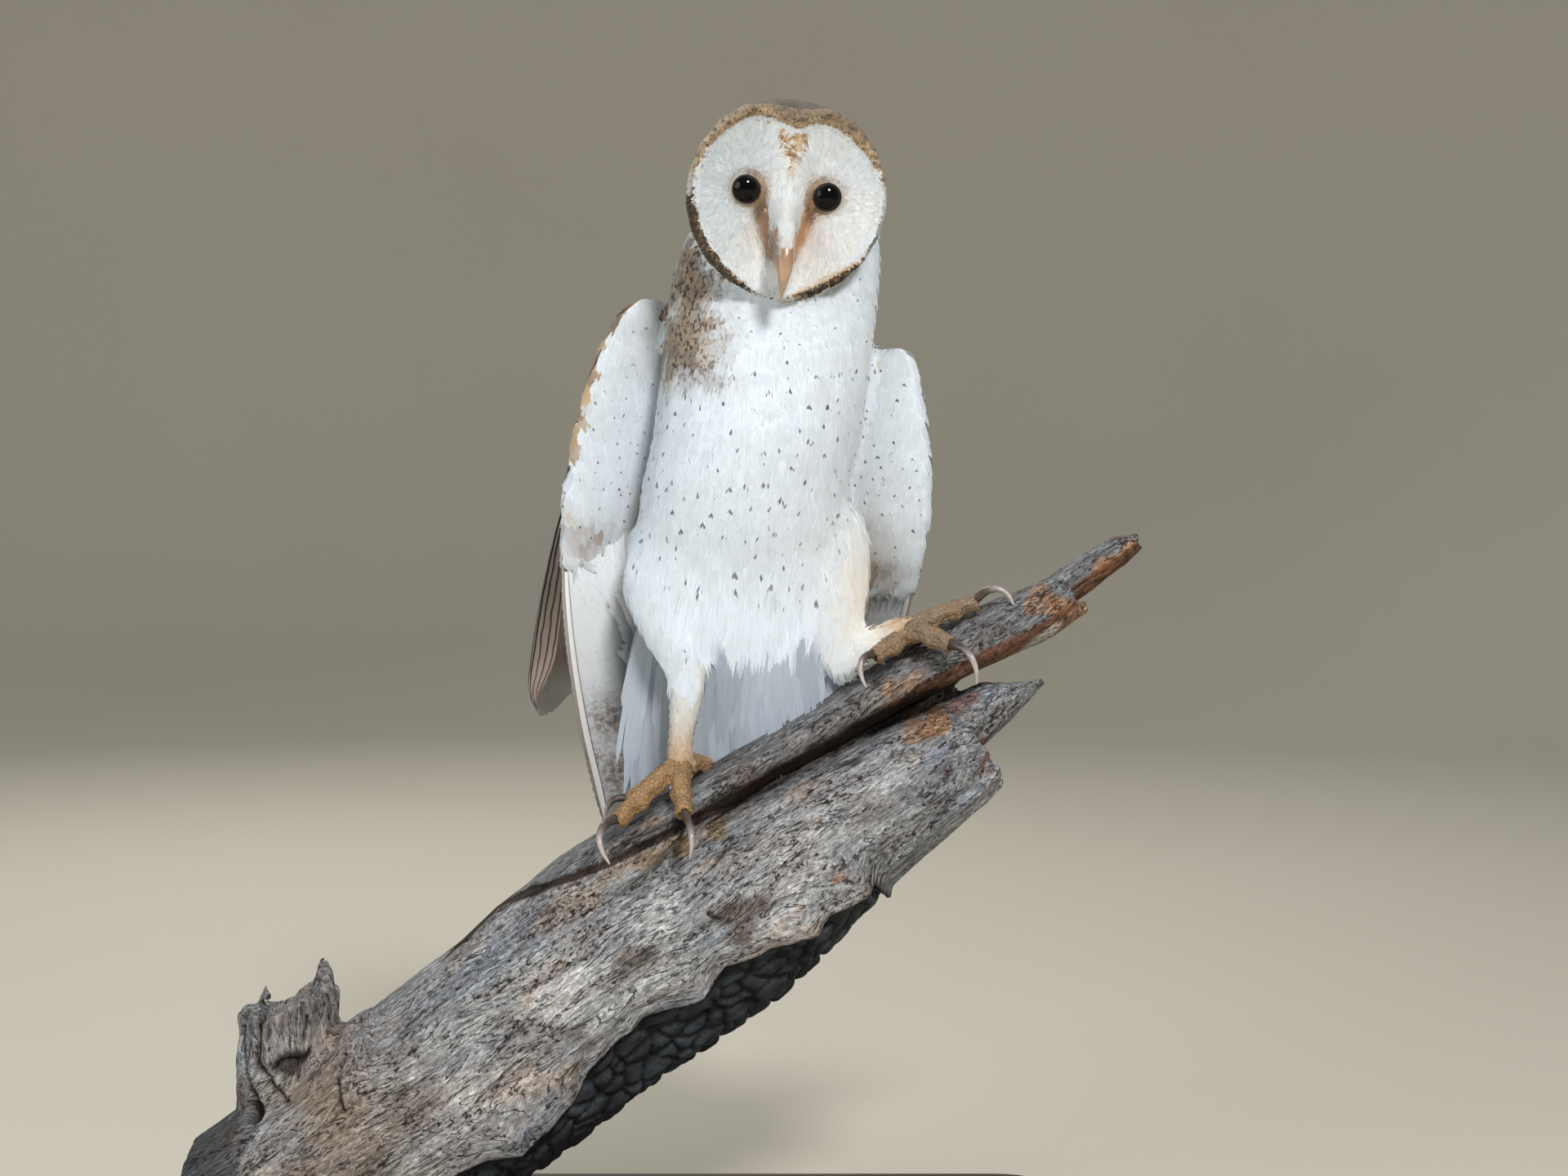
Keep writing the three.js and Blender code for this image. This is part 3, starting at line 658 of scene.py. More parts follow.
def log_solid():
    """The log as one surface, with a core behind the split and a flare at the stub's foot."""
    points, faces = cad_surface(["log_trunk", "log_spar", "log_stub"], 0.35 * MM)
    ball, ball_faces = globe()
    core = from_log((ball * CORE_SIZE + CORE_PLACE) * MM)
    flare = (ball * FLARE_SIZE + FLARE_PLACE) * MM
    faces = np.concatenate([faces, ball_faces + len(points), ball_faces + len(points) + len(core)])
    mesh = remeshed("log", np.concatenate([points, core, flare]), faces, WOOD_VOXEL)
    points = smoothed(mesh, points_of(mesh), 18)
    on_stub = ramp_mm(points[:, 0], -120, -132)
    raised = (9 * ramp_mm(points[:, 0], -165, -144) - 3) * MM
    points[:, 2] += raised * on_stub * ramp_mm(points[:, 2], 112, 130)
    points[:, 2] -= 0.4 * np.maximum(points[:, 2] - 140 * MM, 0) * on_stub
    knots = fractal(points, (15, 15, 24), 2, 76) * on_stub * ramp_mm(points[:, 2], 82, 100)
    points = points + normals_of(mesh) * (2.6 * MM * knots)[:, None]
    move_to(mesh, points)
    return mesh, points


def wood_marks(q, points, grain):
    """The split's depth, and how strongly each place is split, cracked, splintered or broken."""
    gap = above_split(q) - 0.8 * MM * noise(q, (7, 20, 7), 65)
    depth = follow(SPLIT_DEPTH, q[:, 0]) * ramp_mm(np.abs(q[:, 1]), 8, 16)
    width = (0.9 * MM + 0.28 * depth) * ramp_mm(q[:, 0], 215, 190) + 0.01 * MM
    above = q[:, 2] - follow(PLATE, q[:, 0]) - 0.5 * MM * noise(q, 6, 68)
    on_plate = ramp_mm(q[:, 0], 14, 20) * ramp_mm(q[:, 0], 74, 66) * ramp_mm(q[:, 1], -6, -14)
    splinter = ramp_mm(q[:, 0], 140, 176) * ramp_mm(q[:, 2], 30, 20)
    ridges = 1 - np.abs(noise(grain, (60, 7, 7), 63))
    hole_x, hole_z, radius = KNOT_HOLE
    from_hole = np.hypot(points[:, 0] - hole_x * MM, 1.2 * (points[:, 2] - hole_z * MM))
    return SimpleNamespace(
        depth=depth,
        split=bump(gap - 0.5 * width, width) * ramp_mm(q[:, 0], -82, -60),
        lip=bump(gap - 2.3 * width - 1 * MM, 1.4 * width),
        groove=bump(above, 0.9 * MM) * on_plate,
        plate=bump(above - 2.2 * MM, 1.3 * MM) * on_plate,
        splinter=np.maximum(splinter, ramp_mm(q[:, 0], 225, 250) * 0.4),
        broken=ramp_mm(points[:, 2], 118, 126) * ramp_mm(points[:, 0], -125, -135),
        checks=ramp(ridges, 0.94, 0.99) * ramp(noise(q, 30, 64), 0.0, 0.5),
        cracked=near_lines(points, STUB_CRACKS, 77),
        hole=ramp_mm(from_hole, radius, 0.5 * radius) * ramp_mm(points[:, 1], 4, -4),
    )


def make_log():
    """The weathered wood of trunk, spar and stub."""
    mesh, points = log_solid()
    normal = normals_of(mesh)
    q = to_log(points)
    grain = grain_of(q, points)
    plane, stray = ragged_edge(q)
    q[:, 2] += stray * ramp_mm(q[:, 2] - plane, 22, 3) * (points[:, 2] > 22 * MM)
    points = from_log(q)
    marks = wood_marks(q, points, grain)
    lumps = 1.6 * fractal(q, (70, 24, 24), 2, 60)
    ribs = 0.5 * noise(grain, (34, 3.4, 3.4), 61) + 0.3 * noise(grain, (9, 1.9, 1.9), 62)
    torn = 5 * marks.splinter * noise(q, (60, 3.6, 3.6), 66) * np.abs(normal @ ALONG_LOG)
    torn = torn + 1.6 * marks.broken * noise(points, (3.2, 3.2, 40), 67)
    sunk = 3.0 * marks.cracked + 6.0 * marks.hole + 1.5 * marks.checks + 1.8 * marks.groove
    push = (lumps + ribs + torn - sunk) * MM * (1 - 0.7 * marks.split) + 0.10 * marks.depth * marks.lip
    inward = np.stack([np.zeros(len(q)), -np.sign(q[:, 1]), -0.15 * np.ones(len(q))], -1)
    points = points + normal * push[:, None] + (marks.split * marks.depth)[:, None] * inward
    points[:, 2] = np.maximum(points[:, 2], LOG_FOOT + 0.05 * MM)
    move_to(mesh, points)
    attribute(mesh, "grain", grain)
    colour_attribute(mesh, wood_tint(q, points, normal, marks))
    attribute(mesh, "char", ramp_mm(q[:, 2] - plane - stray, 1.2, -0.6) * ramp_mm(q[:, 0], 112, 104))
    show("log", mesh, wood_material(), ["log_trunk", "log_spar", "log_stub"])


GREY_WOOD = np.array([0.37, 0.38, 0.395])
PALE_WOOD = np.array([0.72, 0.70, 0.685])
PEACH_WOOD = np.array([0.55, 0.37, 0.24])
BROWN_WOOD = np.array([0.17, 0.125, 0.095])
HEART_WOOD = np.array([0.22, 0.095, 0.05])
# Near-black, painted as shade under the spar, in the split and in the hollow behind it.
PAINTED_WOOD_SHADE = np.array([0.020, 0.011, 0.008])
CRUMBS = np.array([0.36, 0.25, 0.14])
# Round places of one colour on the front, in the log's frame: s, t, radius and strength.
SCARS = [
    (278, 27, 13, 1.0), (246, 24, 9, 0.9), (236, 33, 8, 0.7), (171, 38, 9, 0.6), (160, 42, 8, 0.6),
    (171, 19, 7, 1.0), (160, 23, 7, 0.8), (95, -12, 4, 0.9),
]
STAINS = [
    (50, 1, 16, 0.8), (-40, 2, 13, 0.7), (3, 14, 12, 0.7), (-110, 20, 18, 0.5), (120, 8, 14, 0.4),
    (-150, 0, 20, 0.5), (70, 22, 10, 0.4),
]
CRUMBLED = [(34, 43, 8, 0.75), (48, 41, 8, 0.8), (62, 38, 7, 0.7)]
BLEACHED = [(-33, 17, 24, 0.7), (20, 22, 18, 0.4), (-90, 10, 20, 0.4), (85, 5, 20, 0.5)]
WOOD_SPOTS = [
    (SCARS, PEACH_WOOD * (0.95, 0.8, 0.7)),
    (STAINS, BROWN_WOOD),
    (CRUMBLED, CRUMBS),
    (BLEACHED, PALE_WOOD * 1.1),
]


def wood_tint(q, points, normal, marks):
    """The log's broad colours, with painted shade under the spar, in the split, cracks and knot hole, and
    on a hollow of the stub. Its material adds the fine grain, specks and cracks.
    """
    s, y, t = q.T
    x, _, z = points.T / MM
    cloud = 0.5 + 0.5 * fractal(q, (60, 26, 26), 3, 70)
    above = above_split(q)
    layers = [
        (PALE_WOOD, 0.75 * ramp(cloud, 0.35, 0.85)),
        (PEACH_WOOD * 1.1, 0.42 * ramp(fractal(q, (34, 12, 12), 3, 71), 0.16, 0.5)),
        ((0.27, 0.31, 0.37), 0.55 * ramp(fractal(q, (40, 16, 16), 3, 79), 0.1, 0.45)),
        ((0.24, 0.245, 0.25), 0.85 * ramp_mm(above, 0, 2) * ramp_mm(s, -60, -10)),
        ((0.60, 0.55, 0.51), 0.55 * ramp_mm(s, -40, -150) * ramp(cloud, 0.2, 0.7)),
    ]
    stray = 8 * MM * noise(q, 9, 72)
    for spots, colour in WOOD_SPOTS:
        shown = ramp_mm(y, 12, 0) * (ramp_mm(above, 0.5, -0.5) if spots is CRUMBLED else 1)
        for at_s, at_t, radius, share in spots:
            reach = np.hypot(s - at_s * MM, 1.3 * (t - at_t * MM)) + stray
            layers.append((colour, share * shown * ramp_mm(reach, radius, 0.5 * radius)))
    under = ramp_mm(above, 0, 1) * ramp_mm(s, 15, 60)
    turned = normal @ UP_FROM_LOG
    heart = under * ramp(turned, 0.0, -0.35) + 0.7 * marks.splinter * ramp(noise(q, 9, 73), 0.2, 0.6)
    lips = np.clip(marks.plate + 0.35 * marks.lip * ramp_mm(s, 58, 74), 0, 1)
    # Where the filler behind the split lies, which is painted near-black as shade.
    inside = bump(s - CORE_PLACE[0] * MM, 30 * MM) * bump(t - CORE_PLACE[2] * MM, 6 * MM)
    inside = inside * ramp_mm(y, -14, -5)
    wander = 9 * noise(points, 13, 75) + 5 * noise(points, 5, 78)
    damp = ramp(x + 0.5 * z + 1.6 * wander, -122, -140) * ramp(z + wander, 104, 88)
    painted_crack_shade = np.max([marks.checks, marks.groove, marks.cracked, marks.hole], 0)
    layers += [
        (HEART_WOOD, np.clip(heart, 0, 0.9)),
        # Painted shade: near-black where the spar's under side turns down, above the split.
        (PAINTED_WOOD_SHADE, 0.9 * under * ramp(turned, -0.1, -0.45) * ramp_mm(s, 200, 160)),
        (CRUMBS * (1.0, 0.72, 0.62), 0.6 * lips * ramp(noise(q, 14, 74), -0.5, 0.3)),
        # Painted shade on the filler behind the split.
        (PAINTED_WOOD_SHADE, 0.9 * np.clip(1.5 * inside, 0, 1)),
        # On the stub: tan wood, a cool edge, painted shade of a hollow, a damp foot and a grey ring.
        ((0.34, 0.25, 0.18), 0.9 * bump(x + 134 + wander, 30) * bump(z - 88 + wander, 34)),
        ((0.42, 0.45, 0.46), 0.8 * bump(x + 176 + 0.4 * wander, 9) * ramp(z, 96, 106)),
        # Painted shade of a hollow in the stub's front.
        ((0.050, 0.036, 0.038), 0.85 * ramp(np.hypot(x + 150, 1.5 * (z - 111)) + wander, 12, 5)),
        ((0.040, 0.046, 0.056), 0.88 * damp),
        ((0.40, 0.42, 0.45), 0.6 * bump(np.hypot(x + 157, z - 76) - 8 + wander, 7)),
        (BROWN_WOOD, 0.35 * marks.broken),
        # Painted shade: near-black deep in the split under the spar, and dark in the cracks, checks, groove
        # and knot hole.
        (PAINTED_WOOD_SHADE, ramp(marks.split, 0.12, 0.45)),
        (BROWN_WOOD * 0.25, np.clip(ramp(marks.split, 0.6, 0.95) + painted_crack_shade, 0, 1)),
    ]
    return np.clip(layered(GREY_WOOD, layers), 0, 1)


def wood_material():
    """Weathered wood, with fine grain, rot and specks over its tint, and black painted into its cracks as
    shade.
    """
    m = Nodes("weathered_wood")
    grain = m.read("grain", "Vector")
    fine = m.noise(grain, (230, 1000, 1000), 7, 0.72, 0.25)
    broad = m.noise(grain, (60, 330, 330), 5, 0.65, 0.5)
    specks = m.noise(grain, (330, 620, 620), 5, 0.75)
    crack = m.noise(grain, (30, 170, 170), 4, 0.55, 1.4)
    line = m.from_middle(crack)
    line = m.times(m.ramp(line, 0.020, 0.004), m.ramp(broad, 0.36, 0.52))
    mottle = m.noise(grain, (300, 520, 520), 6, 0.8, 0.8)
    shade = m.times(m.ramp(fine, 0.36, 0.66, 0.60, 1.36), m.ramp(broad, 0.34, 0.68, 0.74, 1.24))
    shade = m.times(shade, m.ramp(mottle, 0.36, 0.64, 0.58, 1.25))
    colour = m.shaded(m.read("tint", "Color"), shade)
    rotten = m.ramp(m.noise(grain, (26, 60, 60), 4, 0.6, 1.0), 0.47, 0.62)
    eaten = m.ramp(m.plus(specks, m.times(rotten, 0.08)), 0.58, 0.66)
    colour = m.mix(m.times(rotten, 0.28), colour, (0.20, 0.15, 0.12))
    colour = m.mix(eaten, colour, (0.045, 0.036, 0.032))
    pale = m.mix(1.0, m.read("tint", "Color"), (1.75, 1.72, 1.68), "MULTIPLY")
    colour = m.mix(m.ramp(specks, 0.41, 0.34, 0.0, 0.65), colour, pale)
    # Painted shade: black in the fine cracks along the grain.
    colour = m.mix(m.times(line, 0.85), colour, (0.03, 0.025, 0.022))
    colour = m.mix(m.read("char"), colour, (0.012, 0.014, 0.017))
    height = m.plus(m.times(fine, 0.7), m.times(m.minus(broad, line), 0.8))
    m.bump(height, 0.0014, 1.0)
    return m.finish(colour, m.ramp(fine, 0.3, 0.7, 0.95, 0.8), 0.15)


def make_char():
    """The charred wood below, broken into blocks by its cracks."""
    points, faces = cad_surface(["log_char"], 0.1 * MM)
    mesh = remeshed("charred_wood", points, faces, WOOD_VOXEL)
    points = smoothed(mesh, points_of(mesh), 10)
    move_to(mesh, points)
    normal = normals_of(mesh)
    q = to_log(points)
    plane, stray = ragged_edge(q)
    q[:, 2] += (stray + 1.2 * MM) * ramp_mm(q[:, 2] - plane, -26, -6)
    warped = q + 2.5 * MM * noises(q, 14, 80, 3)
    near, second = cells(warped, (13, 8, 8), 83)
    small, small_second = cells(warped, (6, 5, 5), 87)
    crack = ramp(second - near, 0.16, 0.0)
    hair = ramp(small_second - small, 0.07, 0.0)
    block = 1.6 * (ramp(second - near, 0.0, 0.5) - crack) - 0.4 * hair
    block = block + 0.25 * noise(q, (16, 2.6, 2.6), 84)
    lumps = 1.6 * fractal(q, (40, 20, 20), 2, 85)
    points = from_log(q) + normal * ((block - 0.9 + lumps) * MM)[:, None]
    points[:, 2] = np.maximum(points[:, 2], LOG_FOOT + 0.05 * MM)
    move_to(mesh, points)
    attribute(mesh, "grain", q)
    attribute(mesh, "crack", np.clip(crack + 0.6 * hair, 0, 1))
    m = Nodes("charred_wood")
    grain = m.read("grain", "Vector")
    fibres = m.noise(grain, (120, 1100, 1100), 4, 0.6, 0.4)
    patches = m.noise(grain, (60, 110, 110), 3)
    colour = m.mix(m.ramp(patches, 0.35, 0.7), (0.014, 0.017, 0.022), (0.042, 0.052, 0.064))
    colour = m.mix(m.ramp(fibres, 0.55, 0.75, 0.0, 0.4), colour, (0.085, 0.095, 0.105))
    # Painted shade: near-black in the cracks between the charred blocks.
    colour = m.mix(m.read("crack"), colour, (0.003, 0.003, 0.004))
    m.bump(fibres, 0.0006, 0.8)
    material = m.finish(colour, m.ramp(fibres, 0.3, 0.7, 0.42, 0.68), 0.4)
    show("charred_wood", mesh, material, ["log_char"])


def finish_base():
    """The base keeps its CAD shape, with dark stained wood."""
    m = Nodes("base_wood")
    place = m.position()
    rings = m.noise(place, (7, 90, 90), 5, 0.6, 0.5)
    pores = m.noise(place, (60, 1500, 1500), 2)
    colour = m.mix(rings, (0.020, 0.013, 0.009), (0.065, 0.040, 0.025))
    colour = m.mix(m.ramp(pores, 0.60, 0.72, 0.0, 0.7), colour, (0.010, 0.007, 0.005))
    m.bump(m.minus(rings, pores), 0.0003, 0.4)
    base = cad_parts["stand_base"]
    base.data.materials.clear()
    base.data.materials.append(m.finish(colour, m.ramp(rings, 0.3, 0.7, 0.34, 0.46), 0.5))


# ---------------------------------------------------------------- skin

TRUNK_NODES = ("neck", "trunk")
LEG_NODES = [f"{part}_{side}" for part in ("thigh", "shank") for side in SIDES]
WING_NODES = [f"wing_{side}_{part}" for side in SIDES for part in ("hand", "arm")]
TOE_NODES = [f"toe_{digit}_{side}" for side in SIDES for digit in DIGITS]
BODY_NODES = ["facial_disc", "head", *TRUNK_NODES, *LEG_NODES, *WING_NODES]
FLESH = [*BODY_NODES, *TOE_NODES]
REGIONS = ["face", "skull", *TRUNK_NODES, *LEG_NODES, *WING_NODES, "toes_right", "toes_left", "lids"]
REGION_OF = {**{n: n for n in BODY_NODES}, "facial_disc": "face", "head": "skull",
             **{n: "toes_" + n.split("_")[2] for n in TOE_NODES}}
CREASE_ROUNDS = 220  # of smoothing, which fills the creases between trunk and legs
# How far the coat stands over the skin, in millimetres.
COAT_DEPTH = {"face": 1.0, "skull": 1.7, "neck": 2.8, "trunk": 3.2, "thigh": 2.8, "shank": 1.2,
              "hand": 1.8, "arm": 2.2, "toes": 0.2, "lids": 0.2}


def region(name):
    return REGIONS.index(name)


def kind_of(name):
    """trunk, thigh, hand and so on, without the side."""
    parts = name.split("_")
    return parts[2] if parts[0] == "wing" else parts[0]


def is_kind(labels, *kinds):
    """Which labels are those of regions of the given kinds."""
    return np.isin(labels, [number for number, name in enumerate(REGIONS) if kind_of(name) in kinds])


def to_head(points):
    inverse = np.array(HEAD.inverted())
    return points @ inverse[:3, :3].T + inverse[:3, 3]


def from_head(points):
    matrix = np.array(HEAD)
    return points @ matrix[:3, :3].T + matrix[:3, 3]


def head_turned(vectors):
    return vectors @ np.array(HEAD)[:3, :3].T


def heart(angle):
    """The facial disc's radius at an angle in the head's XZ plane."""
    return DISC_RADIUS - DISC_NOTCH * bump(angle - math.pi / 2, DISC_NOTCH_WIDTH)


def disc_share(x, z):
    """How far out a place on the face is: 0 at the disc's centre, 1 at its rim."""
    return np.hypot(x, z) / heart(np.mod(np.arctan2(z, x), 2 * math.pi))


def face_y(x, z):
    """The face's surface: a shallow dish on each side of the ridge that runs down to the bill."""
    height = (14 * bump(z / MM + 16, 26) + 3 * bump(z / MM - 18, 16)) * MM
    ridge = height * bump(x, (4.5 + 0.13 * np.maximum(z / MM + 20, 0)) * MM)
    return DISC_DISH * (1 - disc_share(x, z) ** 2) - ridge


def owners(points, names):
    """The number in REGIONS of the CAD node nearest to each point."""
    cad_points, cad_triangles = cad_surface(names)
    counts = [len(cad_surface([n])[1]) for n in names]
    number = np.repeat([region(REGION_OF[n]) for n in names], counts)
    return number[nearest(tree_of(cad_points, cad_triangles), points)[2]]


def make_body_skin():
    """One surface inside the coat of the head, trunk, limbs and wings."""
    mesh = remeshed("body_skin", *cad_surface(BODY_NODES, 0.35 * MM), 1.9 * MM)
    points = smoothed(mesh, points_of(mesh), 25)
    move_to(mesh, points)
    labels = owners(points, BODY_NODES)
    depth = np.array([COAT_DEPTH[kind_of(r)] for r in REGIONS])[labels] * MM
    a, b = edges_of(mesh).T
    count = np.bincount(a, minlength=len(depth)) + np.bincount(b, minlength=len(depth))
    for _ in range(12):
        total = np.bincount(a, depth[b], len(depth)) + np.bincount(b, depth[a], len(depth))
        depth = 0.5 * depth + 0.5 * total / np.maximum(count, 1)
    inset = smoothed(mesh, points - depth[:, None] * normals_of(mesh), 8)
    local = to_head(inset)
    share = disc_share(local[:, 0], local[:, 2])
    onto = is_kind(labels, "face") * ramp(share, 0.97, 0.9) * ramp_mm(local[:, 1], 14, 11)
    local[:, 1] = local[:, 1] * (1 - onto) + (face_y(local[:, 0], local[:, 2]) + depth) * onto
    return from_head(local), triangles_of(mesh), labels, depth


def fill_creases(skin):
    """The coat is deeper in the creases between trunk and legs, and takes light as one soft form."""
    body = is_kind(skin.labels, "trunk", "thigh")
    wide = smoothed(skin.mesh, skin.points, CREASE_ROUNDS, 0.0)
    move_to(skin.mesh, wide)
    soft = normals_of(skin.mesh)
    move_to(skin.mesh, skin.points)
    fill = ((wide - skin.points) * soft).sum(1)
    low = ramp_mm(skin.points[:, 2], 372, 345) * body * ramp(skin.normals[:, 1], 0.3, -0.1)
    skin.depth = skin.depth + np.clip(fill, 0, 9 * MM) * low
    share = 0.9 * low + 0.5 * is_kind(skin.labels, "trunk", "neck") * (1 - low)
    skin.normals = unit(mixed(skin.normals, soft, share))
    return unit(skin.normals[skin.triangles].sum(1))


def make_feet_skin():
    """The toes, with rings of scutes over the top and pads below."""
    points, faces = cad_surface(TOE_NODES, 0.3 * MM)
    shanks = []
    for side in SIDES:
        shank_points, shank_faces = cad_surface([f"shank_{side}"], -1.3 * MM)
        shanks.append(shank_faces + len(points))
        points = np.concatenate([points, shank_points])
    mesh = remeshed("feet_skin", points, np.concatenate([faces, *shanks]), 0.9 * MM)
    points = smoothed(mesh, points_of(mesh), 9)
    move_to(mesh, points)
    normal = normals_of(mesh)
    labels = owners(points, TOE_NODES)
    push = 0.12 * noise(points, 1.6, 31)
    reach = np.full(len(points), 9.0)
    for name in TOE_NODES:
        toe = cad_surface([name])[0]
        middle = toe.mean(0)
        axis = np.linalg.svd(toe - middle)[2][0]
        offset = points - middle
        along = offset @ axis
        away = np.linalg.norm(offset - along[:, None] * axis, axis=1)
        half = np.abs((toe - middle) @ axis).max()
        near = (away < 7.5 * MM) & (np.abs(along) < half + 2 * MM) & (away < reach)
        reach = np.where(near, away, reach)
        top = ramp(normal[:, 2], -0.2, 0.4)
        rings = np.abs(np.sin(math.pi * along / (2.1 * MM))) ** 0.5 - 0.6
        pads = np.sin(2 * math.pi * along / (11 * MM))
        below = (0.7 * pads + 0.25 * noise(points, 1.2, 33)) * (1 - top)
        push = np.where(near, 0.30 * rings * top + below, push)
    points = points + normal * ((push - 0.15) * MM)[:, None]
    in_coat = ramp_mm(points[:, 2], 250, 262) * (points[:, 0] < 60 * MM)
    points = points - normal * (in_coat * 1.5 * MM)[:, None]
    return points, triangles_of(mesh), labels, np.full(len(points), 0.25 * MM)


def make_lids():
    """A rolled rim round each eye, which hangs a little into it above the inner corner."""
    around, points, faces = 60, [], []
    angle = np.linspace(0, 2 * math.pi, around, endpoint=False)
    for side in (-1, 1):  # the right eye's, then the left's
        opening = LID_OPENING * (1 - 0.13 * bump(np.cos(angle - LID_DROOP) - 1, 0.25))
        start = len(points) * around
        for out, height in LID_PROFILE:
            r = opening + out * MM
            x, z = EYE_PLACE[0] + r * np.cos(angle), EYE_PLACE[2] + r * np.sin(angle)
            ball = EYE_PLACE[1] - np.sqrt(np.maximum(EYE_RADIUS**2 - r**2, 0))
            y = np.where(out < 0.6, ball, np.minimum(ball, face_y(x, z) + 0.9 * MM)) + height * MM
            points.append(np.stack([side * x, y, z], -1))
        triangles = tube(len(LID_PROFILE), around, start)[:, [0, 1, 2, 0, 2, 3]].reshape(-1, 3)
        faces.append(triangles if side < 0 else triangles[:, ::-1])
    points = from_head(np.concatenate(points))
    labels = np.full(len(points), region("lids"))
    return points, np.concatenate(faces), labels, np.full(len(points), 0.1 * MM)


class Skin:
    """The skin's surface, ready for roots to be spread over it."""

    def __init__(self, *shells):
        starts = np.cumsum([0] + [len(s[0]) for s in shells])
        self.points = np.concatenate([s[0] for s in shells])
        self.triangles = np.concatenate([s[1] + start for s, start in zip(shells, starts)])
        self.labels = np.concatenate([s[2] for s in shells])
        self.depth = np.concatenate([s[3] for s in shells])
        self.mesh = mesh_of("skin", self.points, self.triangles)
        self.normals = normals_of(self.mesh)
        self.tree = tree_of(self.points, self.triangles)
        a, b, c = self.points[self.triangles].transpose(1, 0, 2)
        self.area = np.linalg.norm(np.cross(b - a, c - a), axis=1) / 2
        self.label = self.labels[self.triangles[:, 0]]
        self.middles = [self.points[self.labels == k].mean(0) for k in range(len(REGIONS))]
        heights = [self.points[self.labels == k, 2] for k in range(len(REGIONS))]
        self.heights = [(h.min(), h.max()) for h in heights]

    def scatter(self, regions, spacing, rng):
        """Roots spread evenly over some regions: places, normals, region numbers and coat depths."""
        wanted = np.isin(self.label, [region(r) for r in regions])
        weight = np.where(wanted, self.area, 0)
        count = int(5.5 * weight.sum() / spacing**2)
        face = rng.choice(len(weight), count, p=weight / weight.sum())
        share = rng.random((count, 2))
        flip = share.sum(1) > 1
        share[flip] = 1 - share[flip]
        blend = np.stack([1 - share.sum(1), share[:, 0], share[:, 1]], -1)
        corner = self.triangles[face]
        place = (self.points[corner] * blend[..., None]).sum(1)
        kept = np.flatnonzero(spaced(place, np.ones(count, bool), spacing))
        normal = unit((self.normals[corner[kept]] * blend[kept][..., None]).sum(1))
        return Plumes(place[kept], normal, self.label[face[kept]], self.depth[corner[kept, 0]])


def spaced(points, wanted, distance):
    """wanted, thinned in order so that no two places are nearer than distance."""
    tree = KDTree(len(points))
    for k, p in enumerate(points.tolist()):
        tree.insert(p, k)
    tree.balance()
    free = wanted.copy()
    kept = np.zeros(len(points), bool)
    for k in np.flatnonzero(wanted):
        if free[k]:
            kept[k] = True
            for _, other, _ in tree.find_range(points[k].tolist(), distance):
                free[other] = False
    return kept


def unwrap(points, labels):
    """Places in the unit square for points on the skin, with a tile for each region, unrolled round it."""
    tiles = 4
    uv = np.zeros((len(points), 2))
    for number in np.unique(labels):
        chosen = labels == number
        p = points[chosen]
        if REGIONS[number] == "face":
            local = to_head(p)[:, [0, 2]] / DISC_RADIUS * 0.5 + 0.5
        else:
            centre = skin.middles[number]
            angle = np.arctan2(p[:, 0] - centre[0], p[:, 1] - centre[1]) / (2 * math.pi) + 0.5
            low, high = skin.heights[number]
            local = np.stack([angle, (p[:, 2] - low) / (high - low)], -1)
        column, row = number % tiles, number // tiles
        uv[chosen] = (np.array([column, row]) + 0.03 + 0.94 * np.clip(local, 0, 1)) / tiles
    return uv


# ---------------------------------------------------------------- feathers


class Plumes:
    """Feathers to be made in one go: what is known of each, as arrays of one length."""

    def __init__(self, roots, normals, labels, depth):
        self.roots, self.normals, self.labels, self.depth = roots, normals, labels, depth
        self.mark = self.pearl = self.mottle = np.zeros(len(roots))

    def __len__(self):
        return len(self.roots)

    def pick(self, chosen):
        other = Plumes.__new__(Plumes)
        for key, value in vars(self).items():
            setattr(other, key, value[chosen])
        return other

    def point(self, way):
        """Sets the direction: way, laid flat on the skin."""
        self.direction = unit(way - (way * self.normals).sum(1, keepdims=True) * self.normals)

    def size(self, length, width, lift, rng, vary=0.1):
        """Sets length, width and lift in millimetres, with some variety."""
        count = len(self)
        self.length = length * MM * rng.normal(1, vary, count)
        self.width = width * MM * rng.normal(1, vary, count)
        self.lift = rng.normal(lift, 0.2, count) * MM


BAKE_PATCH = 0.003  # a feather's size in the unwrap
SOFTNESS = 0.82  # share of the skin's own normal in how the coat takes light
JUMP = 1.6  # a plume whose spine is stretched by more than this has jumped a gap
ASTRAY = 2.5 * MM  # a strand that would have to move further to lie on the skin hangs free
# How far along a feather its rows of points lie, for each number of rows.
STEPS = {
    2: (0, 0.65, 1),
    3: (0, 0.42, 0.82, 1),
    4: (0, 0.32, 0.64, 0.88, 1),
    6: (0, 0.2, 0.4, 0.6, 0.78, 0.92, 1),
}


def on_skin(points):
    """The nearest places on the skin, and the ways the coat faces there."""
    place, _, number = nearest(skin.tree, points)
    return place, skin.facing[number]


def lay_spines(plumes, t, onto):
    """Each plume's spine and the way its face looks along it, without the plumes that would jump a gap."""
    spine = plumes.roots[:, None] + plumes.direction[:, None] * (plumes.length[:, None] * t)[..., None]
    if hasattr(plumes, "facing"):
        return plumes, spine, np.repeat(plumes.facing[:, None], len(t), 1)
    spine, normal = onto(spine)
    stride = np.linalg.norm(np.diff(spine, axis=1), axis=2)
    whole = (stride < JUMP * plumes.length[:, None] * np.diff(t) + 0.3 * MM).all(1)
    return plumes.pick(whole), spine[whole], normal[whole]


